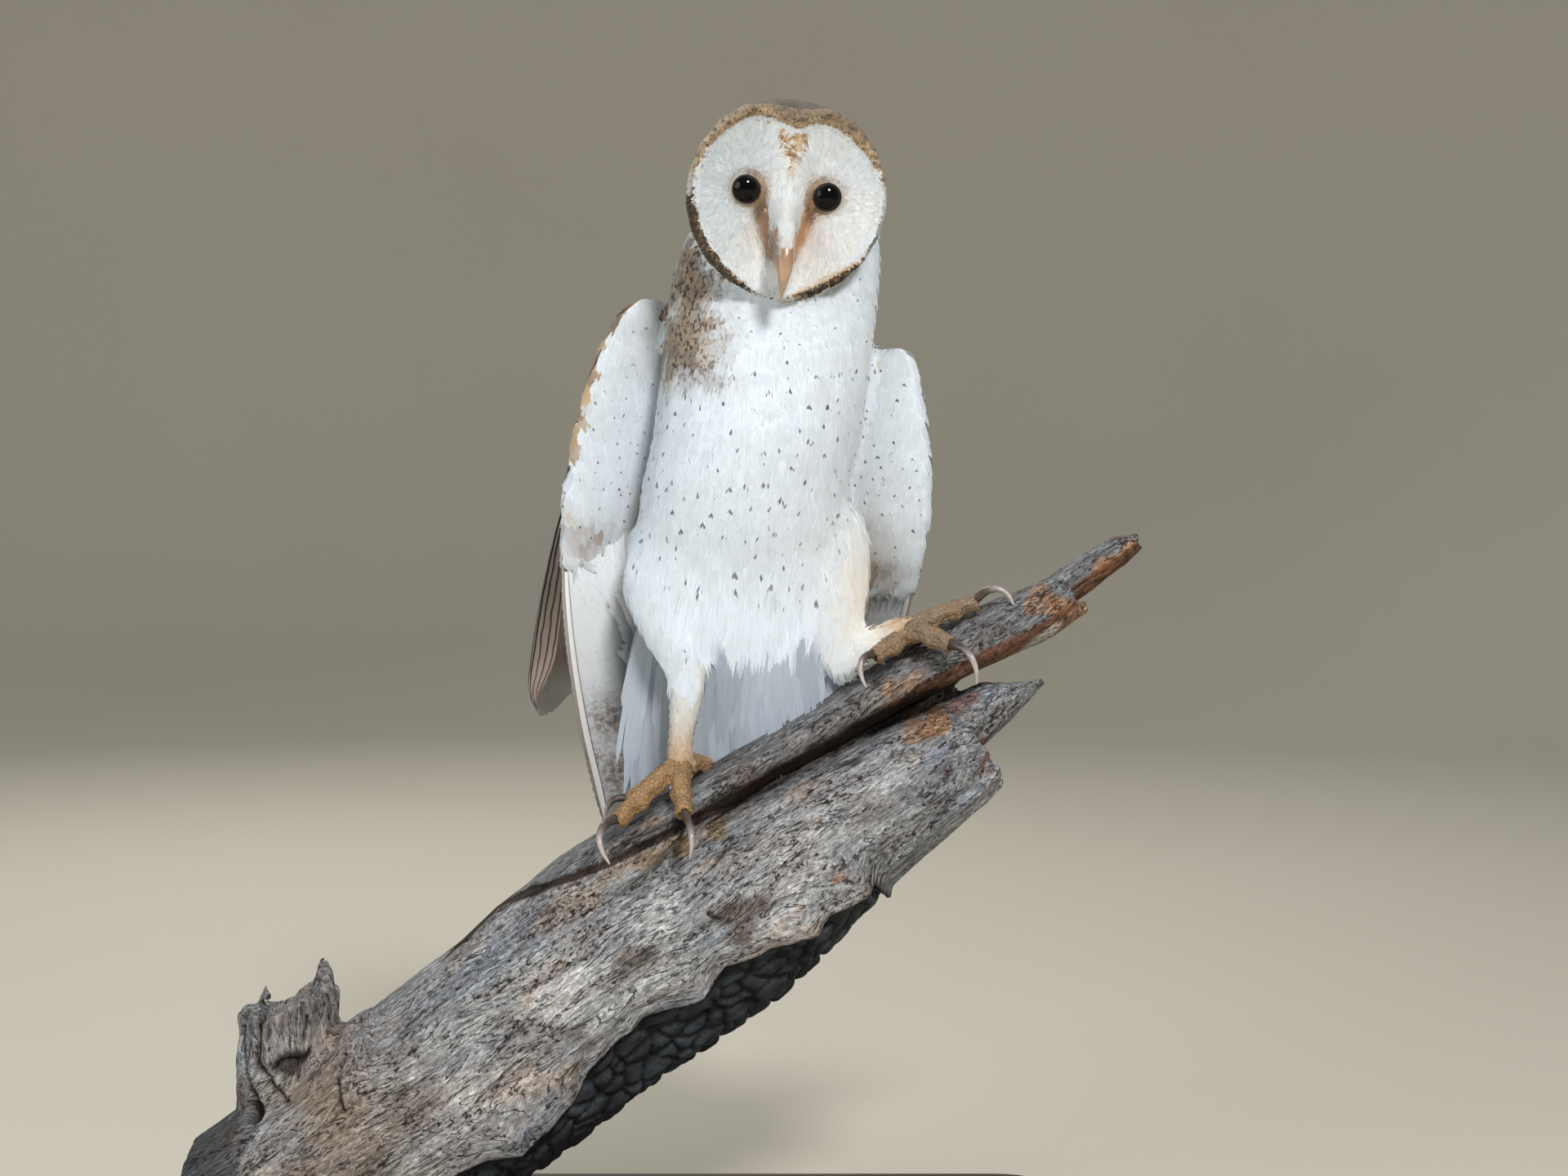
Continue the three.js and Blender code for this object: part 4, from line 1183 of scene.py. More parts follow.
def feather_mesh(name, plumes, rows, strands, rng, ragged=0.14, overlap=1.0, onto=on_skin, stray=0.03):
    """Feathers made of narrow strands of barbs, which leave the skin at their roots and lie along it.

    Where plumes.free is set, a feather leaves the skin and hangs. plumes.facing says where the face of one
    that hangs looks, and plumes.towards draws the faces of others that way.
    """
    t = np.array(STEPS[rows])
    plumes, spine, normal = lay_spines(plumes, t, onto)
    count = len(plumes)
    if hasattr(plumes, "towards"):
        normal = unit(normal + plumes.towards[:, None])
    sideways = unit(np.cross(np.gradient(spine, axis=1), normal))
    u = np.linspace(-1, 1, strands) if strands > 1 else np.zeros(1)
    u = u + rng.uniform(-0.5, 0.5, (count, strands)) / strands
    reach = 1 - 0.3 * u**2 - ragged * rng.random((count, strands))
    s = t[None, None] * reach[..., None]
    low = np.minimum(np.searchsorted(t, s, "right") - 1, rows - 1)
    part = ((s - t[low]) / (t[low + 1] - t[low]))[..., None]
    each = np.arange(count)[:, None, None]

    def along(values):
        return values[each, low] * (1 - part) + values[each, low + 1] * part

    side = unit(along(sideways))
    half = plumes.width[:, None, None] / 2
    spread = u[..., None] * half * np.sin(math.pi * (0.12 + 0.56 * s))
    spread = spread + rng.normal(0, stray, (count, strands, 1)) * plumes.length[:, None, None] * s**2
    before = along(spine) + side * spread[..., None]
    flat, up = onto(before)
    astray = np.linalg.norm(flat - before, axis=-1, keepdims=True) > ASTRAY
    flat = np.where(astray, before, flat)
    up = unit(along(normal)) if hasattr(plumes, "facing") else unit(up + along(normal))
    if hasattr(plumes, "towards"):
        up = unit(up + plumes.towards[:, None, None])
    strand = half / strands * (1 + overlap) * (0.6 + 0.4 * ramp(t, 0, 0.35)) * (t < 1) * np.ones_like(s)
    rise = 1 - (1 - s) ** 3
    jitter = rng.uniform(-0.06, 0.06, (count, 1, 1)) + rng.uniform(-0.04, 0.04, (count, strands, 1))
    height = plumes.depth[:, None, None] * rise * (0.94 + jitter) + plumes.lift[:, None, None] * s**2
    middle = flat + up * height[..., None]
    free = getattr(plumes, "free", np.zeros(count))[:, None, None] * s
    ahead = plumes.direction[:, None, None] * (plumes.length[:, None, None] * s)[..., None]
    fall = plumes.roots[:, None, None] + ahead + side * spread[..., None]
    fall = fall + up * plumes.depth[:, None, None, None] * 0.9
    fall[..., 2] -= 0.25 * plumes.length[:, None, None] * s**2
    middle = middle * (1 - free[..., None]) + fall * free[..., None]
    up = unit(up + 2.5 * free[..., None] * np.array([0, -1, 0.3]))
    edge = side * strand[..., None] - up * (0.2 * strand * np.sign(u)[..., None])[..., None]
    per = 2 * rows + 1

    def both(left, right, last):
        pairs = np.stack([left[:, :, :-1], right[:, :, :-1]], 3)
        return np.concatenate([pairs.reshape(count, strands, 2 * rows, -1), last[:, :, -1:]], 2)

    points = both(middle - edge, middle + edge, middle)
    k = np.arange(rows - 1) * 2
    quads = np.stack([k, k + 1, k + 3, k + 2], -1)
    tip = np.array([[2 * rows - 2, 2 * rows - 1, 2 * rows]])
    starts = (np.arange(count * strands) * per)[:, None, None]
    quads, tips = (starts + quads).reshape(-1, 4), (starts + tip).reshape(-1, 3)
    mesh = mesh_of(name, points.reshape(-1, 3), quads, tips)
    soft = SOFTNESS * both(up, up, up).reshape(-1, 3) + (1 - SOFTNESS) * normals_of(mesh)
    attribute(mesh, "custom_normal", unit(soft))
    where = ((spread / half + 1) / 2)[..., None]
    wide = (strand / (2 * half))[..., None]
    across = both(where - wide, where + wide, where)
    far = both(s[..., None], s[..., None], s[..., None])
    vane = np.concatenate([across, far], -1).reshape(-1, 2)
    place = np.repeat(unwrap(plumes.roots, plumes.labels), strands * per, 0)
    set_maps(mesh, vane, place + BAKE_PATCH * (np.clip(vane, 0, 1) - 0.5))
    shade = rng.normal(1, 0.03, (count, strands, 1, 1)) * rng.normal(1, 0.025, (count, 1, 1, 1))
    tip_tint = getattr(plumes, "tip", plumes.tint)[:, None, None]
    outer = ramp(far, 0.55, 0.95)
    tint = (plumes.tint[:, None, None] * (1 - outer) + tip_tint * outer) * shade
    colour_attribute(mesh, np.clip(tint.reshape(-1, 3), 0, 1))
    for key in ("mark", "pearl", "mottle"):
        attribute(mesh, key, np.repeat(getattr(plumes, key), strands * per))
    return mesh


def set_maps(mesh, vane, bake):
    """Gives a mesh its two UV maps: one for baking, and one of the places on each vane."""
    loops = rows_of(mesh.loops, "vertex_index", 1, np.int32)[:, 0]
    for name, values in (("OFBake", bake), ("Vane", vane)):
        layer = mesh.uv_layers.new(name=name)
        layer.uv.foreach_set("vector", values[loops].astype(np.float32).ravel())


# ---------------------------------------------------------------- markings

WHITE = np.array([0.77, 0.82, 0.86])
CREAM = np.array([0.80, 0.72, 0.60])
TAWNY = np.array([0.50, 0.31, 0.15])
BUFF = np.array([0.64, 0.47, 0.29])
GREY_BROWN = np.array([0.20, 0.155, 0.12])
DARK = np.array([0.060, 0.042, 0.032])
RUST = np.array([0.45, 0.19, 0.05])
TOE_TAN = np.array([0.46, 0.27, 0.12])
TOE_GREY = np.array([0.30, 0.22, 0.155])
LID = np.array([0.016, 0.011, 0.009])


def upperparts(points, rng):
    """The back's colour at each root: buff, clouded with grey-brown, each feather on its own shade."""
    cloud = 0.5 + 0.5 * noise(points, 14, 3) + rng.normal(0, 0.22, len(points))
    return mixed(BUFF, GREY_BROWN, np.clip(cloud, 0, 1))


def backward(points, normals, wing):
    """1 on the owl's upper side, which is tawny and grey, and 0 on its white under side."""
    right_edge = 1.5 * wing * ramp(-normals[:, 0], 0.3, 0.8) * ramp_mm(points[:, 0], 26, 16)
    right_edge = right_edge * ramp_mm(points[:, 2], 366, 384)
    y = points[:, 1] / MM
    return ramp(normals[:, 1] + right_edge + 0.004 * (y + 8) + 0.012 * np.maximum(y - 15, 0), 0.15, 0.5)


def neck_patch(points, normals):
    """The strength of the speckled patch on the right side of the neck."""
    x, _, z = (points / MM).T
    side = ramp(normals[:, 0], 0.2, -0.3) * ramp(z, 414, 430) * ramp(x, 60, 38)
    blotch = bump(x - 29, 12) * (bump(z - 438, 14) + 0.6 * bump(z - 466, 12))
    return np.clip(side * (0.32 + 1.0 * blotch + 0.5 * noise(points, 6, 5)), 0, 0.95)


def markings(points, normals, labels, rng):
    """The colour of skin and coat anywhere on the owl."""
    x, _, z = (points / MM).T
    hands, wings = is_kind(labels, "hand"), is_kind(labels, "hand", "arm")
    shanks, legs = is_kind(labels, "shank"), is_kind(labels, "thigh", "shank")
    patch = neck_patch(points, normals) * is_kind(labels, "trunk", "neck")
    flank = bump(x - 104, 13) * bump(z - 330, 34) * 0.75
    speckled = mixed(BUFF * 0.7, GREY_BROWN * 1.35, random_share(rng, 0.6, 0.4, len(x)))
    smudge = bump(x - 107, 12) * bump(z - 331, 11) * ramp(normals[:, 1], 0.6, 0.2) * wings
    smudge = smudge + 0.6 * bump(x + 20, 12) * bump(z - 349, 9) * hands
    tan = np.where(x < 60, ramp(z, 272, 247), ramp(x, 102, 120)) * shanks
    toes = mixed(TOE_TAN, TOE_GREY, 0.75 * (x > 60) + 0.25 * noise(points, 5, 8))
    local = to_head(points) / MM
    from_eye = np.hypot(np.abs(local[:, 0]) - EYE_PLACE[0] / MM, local[:, 2] - EYE_PLACE[2] / MM)
    rim = ramp(from_eye, LID_OPENING / MM + 0.9, LID_OPENING / MM + 0.5)
    behind = ramp(points_behind(local), 1.8, 3.2)
    return layered(mixed(WHITE, CREAM, flank), [
        (speckled, np.clip(1.05 * patch, 0, 0.95)),
        (upperparts(points, rng), backward(points, normals, wings) * ~legs),
        ((0.36, 0.27, 0.21), np.clip(smudge * (0.9 + noise(points, 5, 6)), 0, 0.85)),
        # Painted shade: blue-grey on the trunk's under side, low between the legs.
        ((0.60, 0.64, 0.69), ramp(z, 312, 296) * is_kind(labels, "trunk")),
        (CREAM * 1.05, 0.5 * shanks),
        (mixed(BUFF, TOE_TAN, random_share(rng, 0.4, 0.3, len(x))), 0.9 * tan),
        (toes * (1 + 0.25 * noise(points, 2.5, 9))[:, None], is_kind(labels, "toes")),
        (mixed(face_tint(local, rng), LID, rim), is_kind(labels, "lids")),
        (crown_tint(points, local, rng), is_kind(labels, "skull")),
        (mixed(face_tint(local, rng), crown_tint(points, local, rng), behind), is_kind(labels, "face")),
    ])


def points_behind(local):
    """How many millimetres places lie behind the disc's own surface."""
    return local[:, 1] - face_y(local[:, 0] * MM, local[:, 2] * MM) / MM


def crown_tint(points, local, rng):
    """Grey-brown over the crown with a golden speckled edge, white below the cheeks."""
    x, y, z = local.T
    angle = np.degrees(np.mod(np.arctan2(z, x), 2 * math.pi))
    clouds = np.clip(rng.normal(0.5, 0.3, len(x)) + 0.4 * noise(points, 8, 12), 0, 1)
    gold = mixed(BUFF * 0.85, TAWNY * 0.5, random_share(rng, 0.45, 0.4, len(x)))
    top = layered(mixed((0.175, 0.13, 0.09), GREY_BROWN * 0.5, clouds), [
        (gold, 0.85 * ramp(y, 9, 5)),
        (upperparts(points, rng) * 0.8, 0.75 * ramp(y, 20, 44)),
    ])
    low = ramp(z + 4 * noise(points, 9, 13), 6 - 10 * (x < 0), -10 - 8 * (x < 0))
    white = mixed(WHITE, CREAM, random_share(rng, 0.15, 0.3, len(x)))
    return mixed(top, white, low * ramp(np.abs(angle - 90), 60, 85))


# Degrees round the disc, from its left side as the owl sees it, and there the width of the dark band below
# and of the golden band over the top, in millimetres.
RIM_BAND = [
    (0, 0), (176, 0), (184, 3.4), (196, 5.0), (225, 5.2), (245, 3.8), (258, 2.0), (266, 1.0), (276, 1.2),
    (286, 3.0), (298, 4.8), (316, 4.2), (330, 1.2), (336, 0),
]
TOP_BAND = [
    (0, 0.8), (16, 2.8), (30, 5.2), (45, 7.4), (62, 8.2), (80, 7.6), (95, 7.2), (115, 6.6), (138, 5.0),
    (160, 3.4), (176, 1.8), (184, 0.5), (190, 0), (330, 0), (360, 0.8),
]


def rim_tint(tint, turned, out, rng):
    """Adds the ruff's colours to a tint, at degrees round the disc and millimetres out from its rim."""
    below = np.interp(turned, *np.array(RIM_BAND).T)
    top = np.interp(turned, *np.array(TOP_BAND).T)
    flecks = random_share(rng, 0.35, 0.4, len(out))
    golden = ramp(out + top, 0.4, 1.0)
    return layered(tint, [
        (mixed(BUFF * 0.85, 0.26 * TAWNY, flecks**1.5), golden),
        (mixed(BUFF * 0.5, GREY_BROWN * 0.7, flecks), golden * ramp(out + top, 3.2, 4.6)),
        (BUFF, 0.85 * ramp(turned, 266, 280) * ramp(turned, 336, 322) * ramp(out + below, -0.8, -0.2)),
        (mixed(DARK * 0.9, 0.55 * TAWNY, flecks**2), ramp(out + below, 0.4, 1.0)),
    ])


def face_tint(local, rng):
    """White, with rust at the inner corners of the eyes and a gold wedge over the forehead. Painted shade
    greys the top, and darkens the owl's right side and the rust there.
    """
    x, _, z = local.T
    side = np.abs(x)
    count = len(x)
    left = x > 0
    cloud = np.clip(0.4 + 0.5 * noise(local * MM, 13, 16) + rng.normal(0, 0.15, count), 0, 1)
    # A cooler grey in random clouds; its rise towards the top and the owl's right side is painted shade.
    cool = cloud * ramp(z - 0.5 * x, -30, 10)
    trail = bump(side - 11.3 - 0.31 * (z + 2), 3.5 + 0.3 * left) * ramp(z, 4, 0) * ramp(z, -34, -16)
    # The trail is stronger on the owl's right, partly as painted shade beside the ridge.
    trail = trail * rng.normal(1.2 + 0.2 * (x < 0), 0.15, count)
    corner = bump(side - 10.6 + 0.1 * (z + 2), 2.6) * bump(z + 2.5, 7.5)
    from_eye = np.hypot(side - EYE_PLACE[0] / MM, z - EYE_PLACE[2] / MM)
    ring = bump(from_eye - 7.2, 2.2) * (0.55 + 0.40 * ramp(side, 20, 13))
    lash = bump(from_eye - 8, 1.6) * ramp(side - 0.6 * z, 17, 13) * ramp(z, -5, 0)
    lash = lash * (rng.random(count) < 0.4)
    blush = 0.28 * bump(side - 13, 7) * bump(z + 17, 9) + 0.3 * bump(side - 9.5, 3) * bump(z - 6, 7)
    stray = rng.normal(0, 0.6, count)
    half = 6.8 * (z - 10.5) / 16 + stray
    wedge = ramp(side - half, 0.7, -0.7) * ramp(z + stray, 10.5, 13) * ramp(z + stray, 27.5, 26.3)
    golden = mixed((0.72, 0.57, 0.38), (0.32, 0.18, 0.075), random_share(rng, 0.6, 0.42, count))
    tint = layered(mixed((0.775, 0.775, 0.755), (0.66, 0.71, 0.745), cool), [
        # The rust trails are the feathers' own colour. The darker trail on the owl's right is partly
        # painted shade beside the ridge.
        (np.where(left[:, None], RUST, 0.45 * RUST), np.clip(trail, 0, 0.92)),
        (DARK * (1.6, 1.3, 1.1), np.clip(1.5 * corner, 0, 0.88)),
        (BUFF * (0.50, 0.42, 0.34), ring),
        (DARK * 3.4, 0.4 * lash),
        ((0.66, 0.47, 0.33), blush),
        (golden, wedge * (rng.random(count) < 0.9)),
    ])
    # Painted shade: the face darker towards the owl's right side, away from the key light.
    tint = tint * (1 - np.array([0.14, 0.115, 0.105]) * ramp(x, -5, -22)[:, None])
    tint = mixed(tint, 0.8 * BUFF, 0.6 * bump(x, 1.1) * ramp(z, 3, 9) * ramp(z, 15, 11))
    angle = np.mod(np.arctan2(z, x), 2 * math.pi)
    return rim_tint(tint, np.degrees(angle), np.hypot(x, z) - heart(angle) / MM, rng)


def show_skin():
    """The skin as a piece: bare and scaly on the toes, and under the feathers marked as they are."""
    rng = np.random.default_rng(SEED + 9)
    colour_attribute(skin.mesh, markings(skin.points, skin.normals, skin.labels, rng))
    attribute(skin.mesh, "bare", is_kind(skin.labels, "toes").astype(float))
    m = Nodes("skin")
    grains = m.noise(m.position(), 1400, 3)
    tint = m.shaded(m.read("tint", "Color"), m.ramp(grains, 0.3, 0.7, 0.78, 1.1))
    scales = m.set_up("TexVoronoi", m.position(), Scale=640)
    edge = m.times(m.ramp(scales.outputs["Distance"], 0.30, 0.62), m.read("bare"))
    tint = m.mix(m.times(edge, 0.55), tint, (0.20, 0.13, 0.075))
    m.bump(m.minus(grains, m.times(edge, 1.5)), 0.0004, 0.8)
    show("skin", skin.mesh, m.finish(tint, 0.7, 0.3), FLESH)


# ---------------------------------------------------------------- the body's coat

# Length and width of the feathers in millimetres.
PLUME_SIZES = {
    "trunk": (20, 9), "neck": (10, 5), "thigh": (19, 6), "shank": (6, 1.6),
    "hand": (12, 6.5), "arm": (16, 9),
}
# The way the feathers point in each region.
LIE = {
    "trunk": (-0.10, 0.12, -1), "neck": (-0.12, 0.1, -1), "thigh_right": (0.0, -0.12, -1),
    "thigh_left": (0.12, -0.05, -1), "shank_right": (-0.06, 0.05, -1), "shank_left": (0.9, -0.05, 0.42),
    "wing_right_hand": (0.02, 0.15, -1), "wing_left_hand": (-0.12, 0.25, -1),
    "wing_right_arm": (-0.25, 0.25, -1), "wing_left_arm": (0.15, 0.25, -1),
}
SPOT_SPACING = {"trunk": 4.9, "neck": 5.2, "wing": 4.4, "thighs": 12.0}  # of dark spots, in millimetres
# Each coat piece: its regions, the spacing of its roots in millimetres, strands and rows.
BODY_COATS = {
    "coat_trunk": (["trunk"], 3.5, 15, 4), "coat_neck": (["neck"], 2.1, 7, 4),
    "coat_thighs": (["thigh_right", "thigh_left"], 2.6, 9, 4),
    "coat_shanks": (["shank_right", "shank_left"], 1.15, 3, 3),
    "coat_wing_right": (["wing_right_hand", "wing_right_arm"], 2.8, 10, 4),
    "coat_wing_left": (["wing_left_hand", "wing_left_arm"], 2.8, 10, 4),
}


def lay_down(plumes, on_wing, rng):
    """Points the body's feathers, gives them their sizes and says how free each hangs."""
    table = np.array([LIE.get(r, (0, 0, -1)) for r in REGIONS], float)
    span = np.array([PLUME_SIZES.get(kind_of(r), (8, 5)) for r in REGIONS], float)
    lowest = np.array([h[0] for h in skin.heights])[plumes.labels]
    trunk, height = is_kind(plumes.labels, "trunk"), plumes.roots[:, 2]
    way = table[plumes.labels]
    way[:, 1] += 0.9 * ramp_mm(height, 326, 298) * trunk
    crest = ramp(plumes.normals[:, 2], 0.35, 0.85)[:, None]
    way = way + 1.6 * crest * plumes.normals * (1, 1, 0) + rng.normal(0, 0.07, way.shape)
    plumes.point(way)
    length, width = span[plumes.labels].T
    front = 1 - backward(plumes.roots, plumes.normals, on_wing)
    belly = ramp_mm(height, 356, 326) * trunk * front
    plumes.size(length * (1 + 0.35 * belly), width, 0.1 + 0.3 * belly, rng)
    plumes.direction = unit(mixed(plumes.direction, unit(way * (1, 0.6, 1)), 0.8 * belly))
    hem = is_kind(plumes.labels, "hand") * front * ramp_mm(height - lowest, 20, 6)
    plumes.length = plumes.length * (1 + hem * (0.5 + 0.9 * (plumes.labels == region("wing_left_hand"))))
    plumes.free = 0.9 * belly + 0.25 * is_kind(plumes.labels, "thigh") + 0.5 * hem


def mark_body(plumes, name, on_wing, rng):
    """Dark spots on the under side, and dark drops with a pearl at their tip on the upper side."""
    back = backward(plumes.roots, plumes.normals, on_wing)
    ends = plumes.roots[:, 2] - plumes.length
    under = (back < 0.4) & (ends > 312 * MM) & (name != "coat_thighs")
    spacing = SPOT_SPACING[name.split("_")[1]] * MM
    spots = spaced(plumes.roots, under & (rng.random(len(plumes)) < 0.6), spacing)
    drops = spaced(plumes.roots, (back > 0.4) & (rng.random(len(plumes)) < 0.8), 8 * MM)
    plumes.mark = np.where(spots | drops, rng.uniform(0.65, 0.95, len(plumes)), 0)
    plumes.pearl = drops * 0.9
    plumes.lift = plumes.lift + np.where(spots | drops, 0.7 * MM, 0)


def make_body_coat():
    """The feathers of trunk, neck, legs and wings."""
    rng = np.random.default_rng(SEED)
    material = feather_material("body_feathers")
    for name, (regions, spacing, strands, rows) in BODY_COATS.items():
        on_wing = "wing" in name
        plumes = skin.scatter(regions, spacing * MM, rng)
        lay_down(plumes, on_wing, rng)
        plumes.tint = markings(plumes.roots, plumes.normals, plumes.labels, rng)
        patch = np.clip(1.15 * neck_patch(plumes.roots, plumes.normals), 0, 1)
        plumes.mottle = patch * (name in ("coat_trunk", "coat_neck"))
        if name == "coat_shanks":
            x = plumes.roots[:, 0]
            fringe = (x > 60 * MM) * ramp_mm(x, 122, 104)
            plumes.lift = np.abs(plumes.lift) * 2
            plumes.length = plumes.length * (1 + 1.1 * fringe)
            plumes.free = 0.35 * fringe
        else:
            mark_body(plumes, name, on_wing, rng)
        mesh = feather_mesh(name, plumes, rows, strands, rng, ragged=0.3, overlap=0.9)
        show(name, mesh, material, airy=True)


def make_vent_coat():
    """Long soft feathers that hang behind the legs and over the tail's under side."""
    rng = np.random.default_rng(SEED + 6)
    plumes = skin.scatter(["trunk"], 2.3 * MM, rng)
    before_tail = plumes.roots[:, 1] < 20 * MM + 0.6 * (326 * MM - plumes.roots[:, 2])
    plumes = plumes.pick((plumes.roots[:, 2] < 312 * MM) & (plumes.roots[:, 1] > -14 * MM) & before_tail)
    x = plumes.roots[:, 0] / MM
    count = len(plumes)
    plumes.direction = np.stack([(x - 50) / 300, rng.uniform(0.15, 0.48, count), -np.ones(count)], -1)
    plumes.direction = unit(plumes.direction + rng.normal(0, 0.06, (count, 3)))
    plumes.facing = unit(np.array([0, -1, 0.25]) + rng.normal(0, 0.08, (count, 3)))
    plumes.size(rng.uniform(34, 72, count), 10, 0.5, rng)
    plumes.free = np.full(count, 1.0)
    # Painted shade: these white feathers get a dark blue-grey tint for the shadow under the body and
    # between the legs.
    plumes.tint = mixed((0.35, 0.385, 0.425), (0.44, 0.485, 0.53), rng.random(count))
    plumes.tip = plumes.tint * (0.93, 0.95, 0.98)
    mesh = feather_mesh("coat_vent", plumes, 6, 11, rng, ragged=0.16, overlap=1.6)
    show("coat_vent", mesh, feather_material("vent_feathers"), airy=True)


# ---------------------------------------------------------------- the head's coat


def face_frame(plumes):
    """Places in the head's frame, their distance from the nearer eye and their share of the disc."""
    x, y, z = to_head(plumes.roots).T
    return x, y, z, np.hypot(np.abs(x) - EYE_PLACE[0], z - EYE_PLACE[2]), disc_share(x, z)


def make_face_coat():
    """Fine hair-like feathers that fan out from the eyes over the disc, and down the ridge."""
    rng = np.random.default_rng(SEED + 1)
    plumes = skin.scatter(["face", "lids"], 0.82 * MM, rng)
    x, y, z, from_eye, share = face_frame(plumes)
    forward = head_turned(np.array([0, -1.0, 0]))
    chosen = (y < 9 * MM) & (from_eye > LID_OPENING + 0.75 * MM) & (share < 0.90)
    plumes = plumes.pick(chosen & (plumes.normals @ forward > 0.25))
    x, _, z, from_eye, share = face_frame(plumes)
    away = unit(np.stack([x - np.sign(x) * EYE_PLACE[0], z - EYE_PLACE[2]], -1))
    down = np.stack([0.12 * np.sign(x), -np.ones(len(x))], -1)
    flow = mixed(away, down, bump(x, 8 * MM) * ramp_mm(z, 24, 12))
    way = head_turned(np.stack([flow[:, 0], np.zeros(len(x)), flow[:, 1]], -1))
    plumes.point(way + rng.normal(0, 0.06, way.shape))
    long = np.minimum(np.clip(2.4 + 0.5 * (from_eye / MM - 7), 2.4, 8.5), (0.90 - share) * 44 + 0.9)
    plumes.size(long, 1.5, 0.0, rng)
    plumes.lift = np.abs(plumes.lift) * 0.5
    shown = to_head(plumes.roots + 0.6 * plumes.length[:, None] * plumes.direction)
    plumes.tint = face_tint(shown / MM, rng) * rng.normal(1, 0.065, (len(plumes), 1))
    plumes.depth = np.interp(from_eye - LID_OPENING, [0.7 * MM, 3 * MM], [0.35 * MM, 0.95 * MM])
    plumes.towards = 2.2 * forward * ramp_mm(from_eye, 15, 10)[:, None]
    mesh = feather_mesh("coat_face", plumes, 3, 4, rng, ragged=0.35, overlap=0.8, stray=0.05)
    show("coat_face", mesh, feather_material("face_feathers"), airy=True)


def make_bridge():
    """Bristles from the ridge that cover the root of the bill."""
    rng = np.random.default_rng(SEED + 7)
    bill_points, bill_faces = cad_surface(["bill_upper"])
    faces = np.concatenate([skin.triangles, bill_faces + len(skin.points)])
    both = tree_of(np.concatenate([skin.points, bill_points]), faces)
    forward = Vector(head_turned(np.array([0, 1.0, 0])))

    def from_front(points):
        """The first places met on skin or bill, looking at the face."""
        start = (points - 40 * MM * np.array(forward)).reshape(-1, 3)
        hits = [both.ray_cast(p, forward) for p in start.tolist()]
        place = np.array([h[0] or p for h, p in zip(hits, start.tolist())]).reshape(points.shape)
        turned = np.array([h[1] or (0, -1, 0) for h in hits]).reshape(points.shape)
        return place, turned

    plumes = skin.scatter(["face"], 0.6 * MM, rng)
    x, y, z, from_eye, _ = face_frame(plumes)
    on_ridge = (np.abs(x) < 7.5 * MM) & (z < 2 * MM) & (z > -24 * MM) & (y < 4 * MM)
    plumes = plumes.pick(on_ridge & (from_eye > 8.5 * MM))
    x, _, z, _, _ = face_frame(plumes)
    way = head_turned(np.stack([0.10 * np.sign(x), -0.5 * np.ones(len(x)), -np.ones(len(x))], -1))
    plumes.point(way + rng.normal(0, 0.05, way.shape))
    reach = np.where(np.abs(x) < 3.2 * MM, -20.5, -27) - z / MM  # down to where the bill shows
    plumes = plumes.pick(reach < -2)
    reach = reach[reach < -2]
    plumes.size(np.clip(-reach * 1.05, 2, 9), 1.3, 0.1, rng)
    local = to_head(plumes.roots) / MM
    flank = ramp(np.abs(local[:, 0]), 1.8, 4.4) * ramp(local[:, 2], -3, -15)
    flank = flank * rng.normal(0.7, 0.15, len(local))
    # Rust on the ridge's sides; it is darker on the owl's right as painted shade.
    rust = np.where(local[:, :1] > 0, RUST, 0.5 * RUST)
    white = mixed((0.70, 0.71, 0.70), (0.62, 0.58, 0.53), ramp(local[:, 2], -8, -20))
    plumes.tint = mixed(white, rust, np.clip(flank, 0, 0.8))
    mesh = feather_mesh("coat_bridge", plumes, 4, 3, rng, ragged=0.3, overlap=0.8, onto=from_front)
    show("coat_bridge", mesh, feather_material("bridge_feathers"), airy=True)


def make_skull_coat():
    """Short feathers that lie backwards from the disc's rim over crown and nape."""
    rng = np.random.default_rng(SEED + 2)
    plumes = skin.scatter(["skull", "face"], 1.4 * MM, rng)
    _, y, _, _, share = face_frame(plumes)
    plumes = plumes.pick(is_kind(plumes.labels, "skull") | (y > 3.5 * MM) & (share > 0.9))
    x, y, z, _, _ = face_frame(plumes)
    near_rim = ramp_mm(y, 16, 4)
    way = head_turned(np.stack([np.zeros(len(x)), np.ones(len(x)), -0.45 * (1 - near_rim)], -1))
    plumes.point(way + rng.normal(0, 0.08, way.shape))
    plumes.size(7.5 - 4 * near_rim, 3.4 - 1.5 * near_rim, 0.1, rng)
    plumes.tint = markings(plumes.roots, plumes.normals, plumes.labels, rng)
    drops = spaced(plumes.roots, rng.random(len(plumes)) < 0.8, 3.6 * MM)
    pale = ramp_mm(z, 0, -14)
    plumes.mark = drops * rng.uniform(0.6, 0.95, len(plumes)) * (1 - 0.6 * pale)
    plumes.pearl = drops * 0.5
    plumes.mottle = 0.7 * ramp_mm(z, -6, 12)
    plumes.lift = plumes.lift + 0.5 * MM * drops
    mesh = feather_mesh("coat_skull", plumes, 3, 7, rng)
    show("coat_skull", mesh, feather_material("crown_feathers"), airy=True)


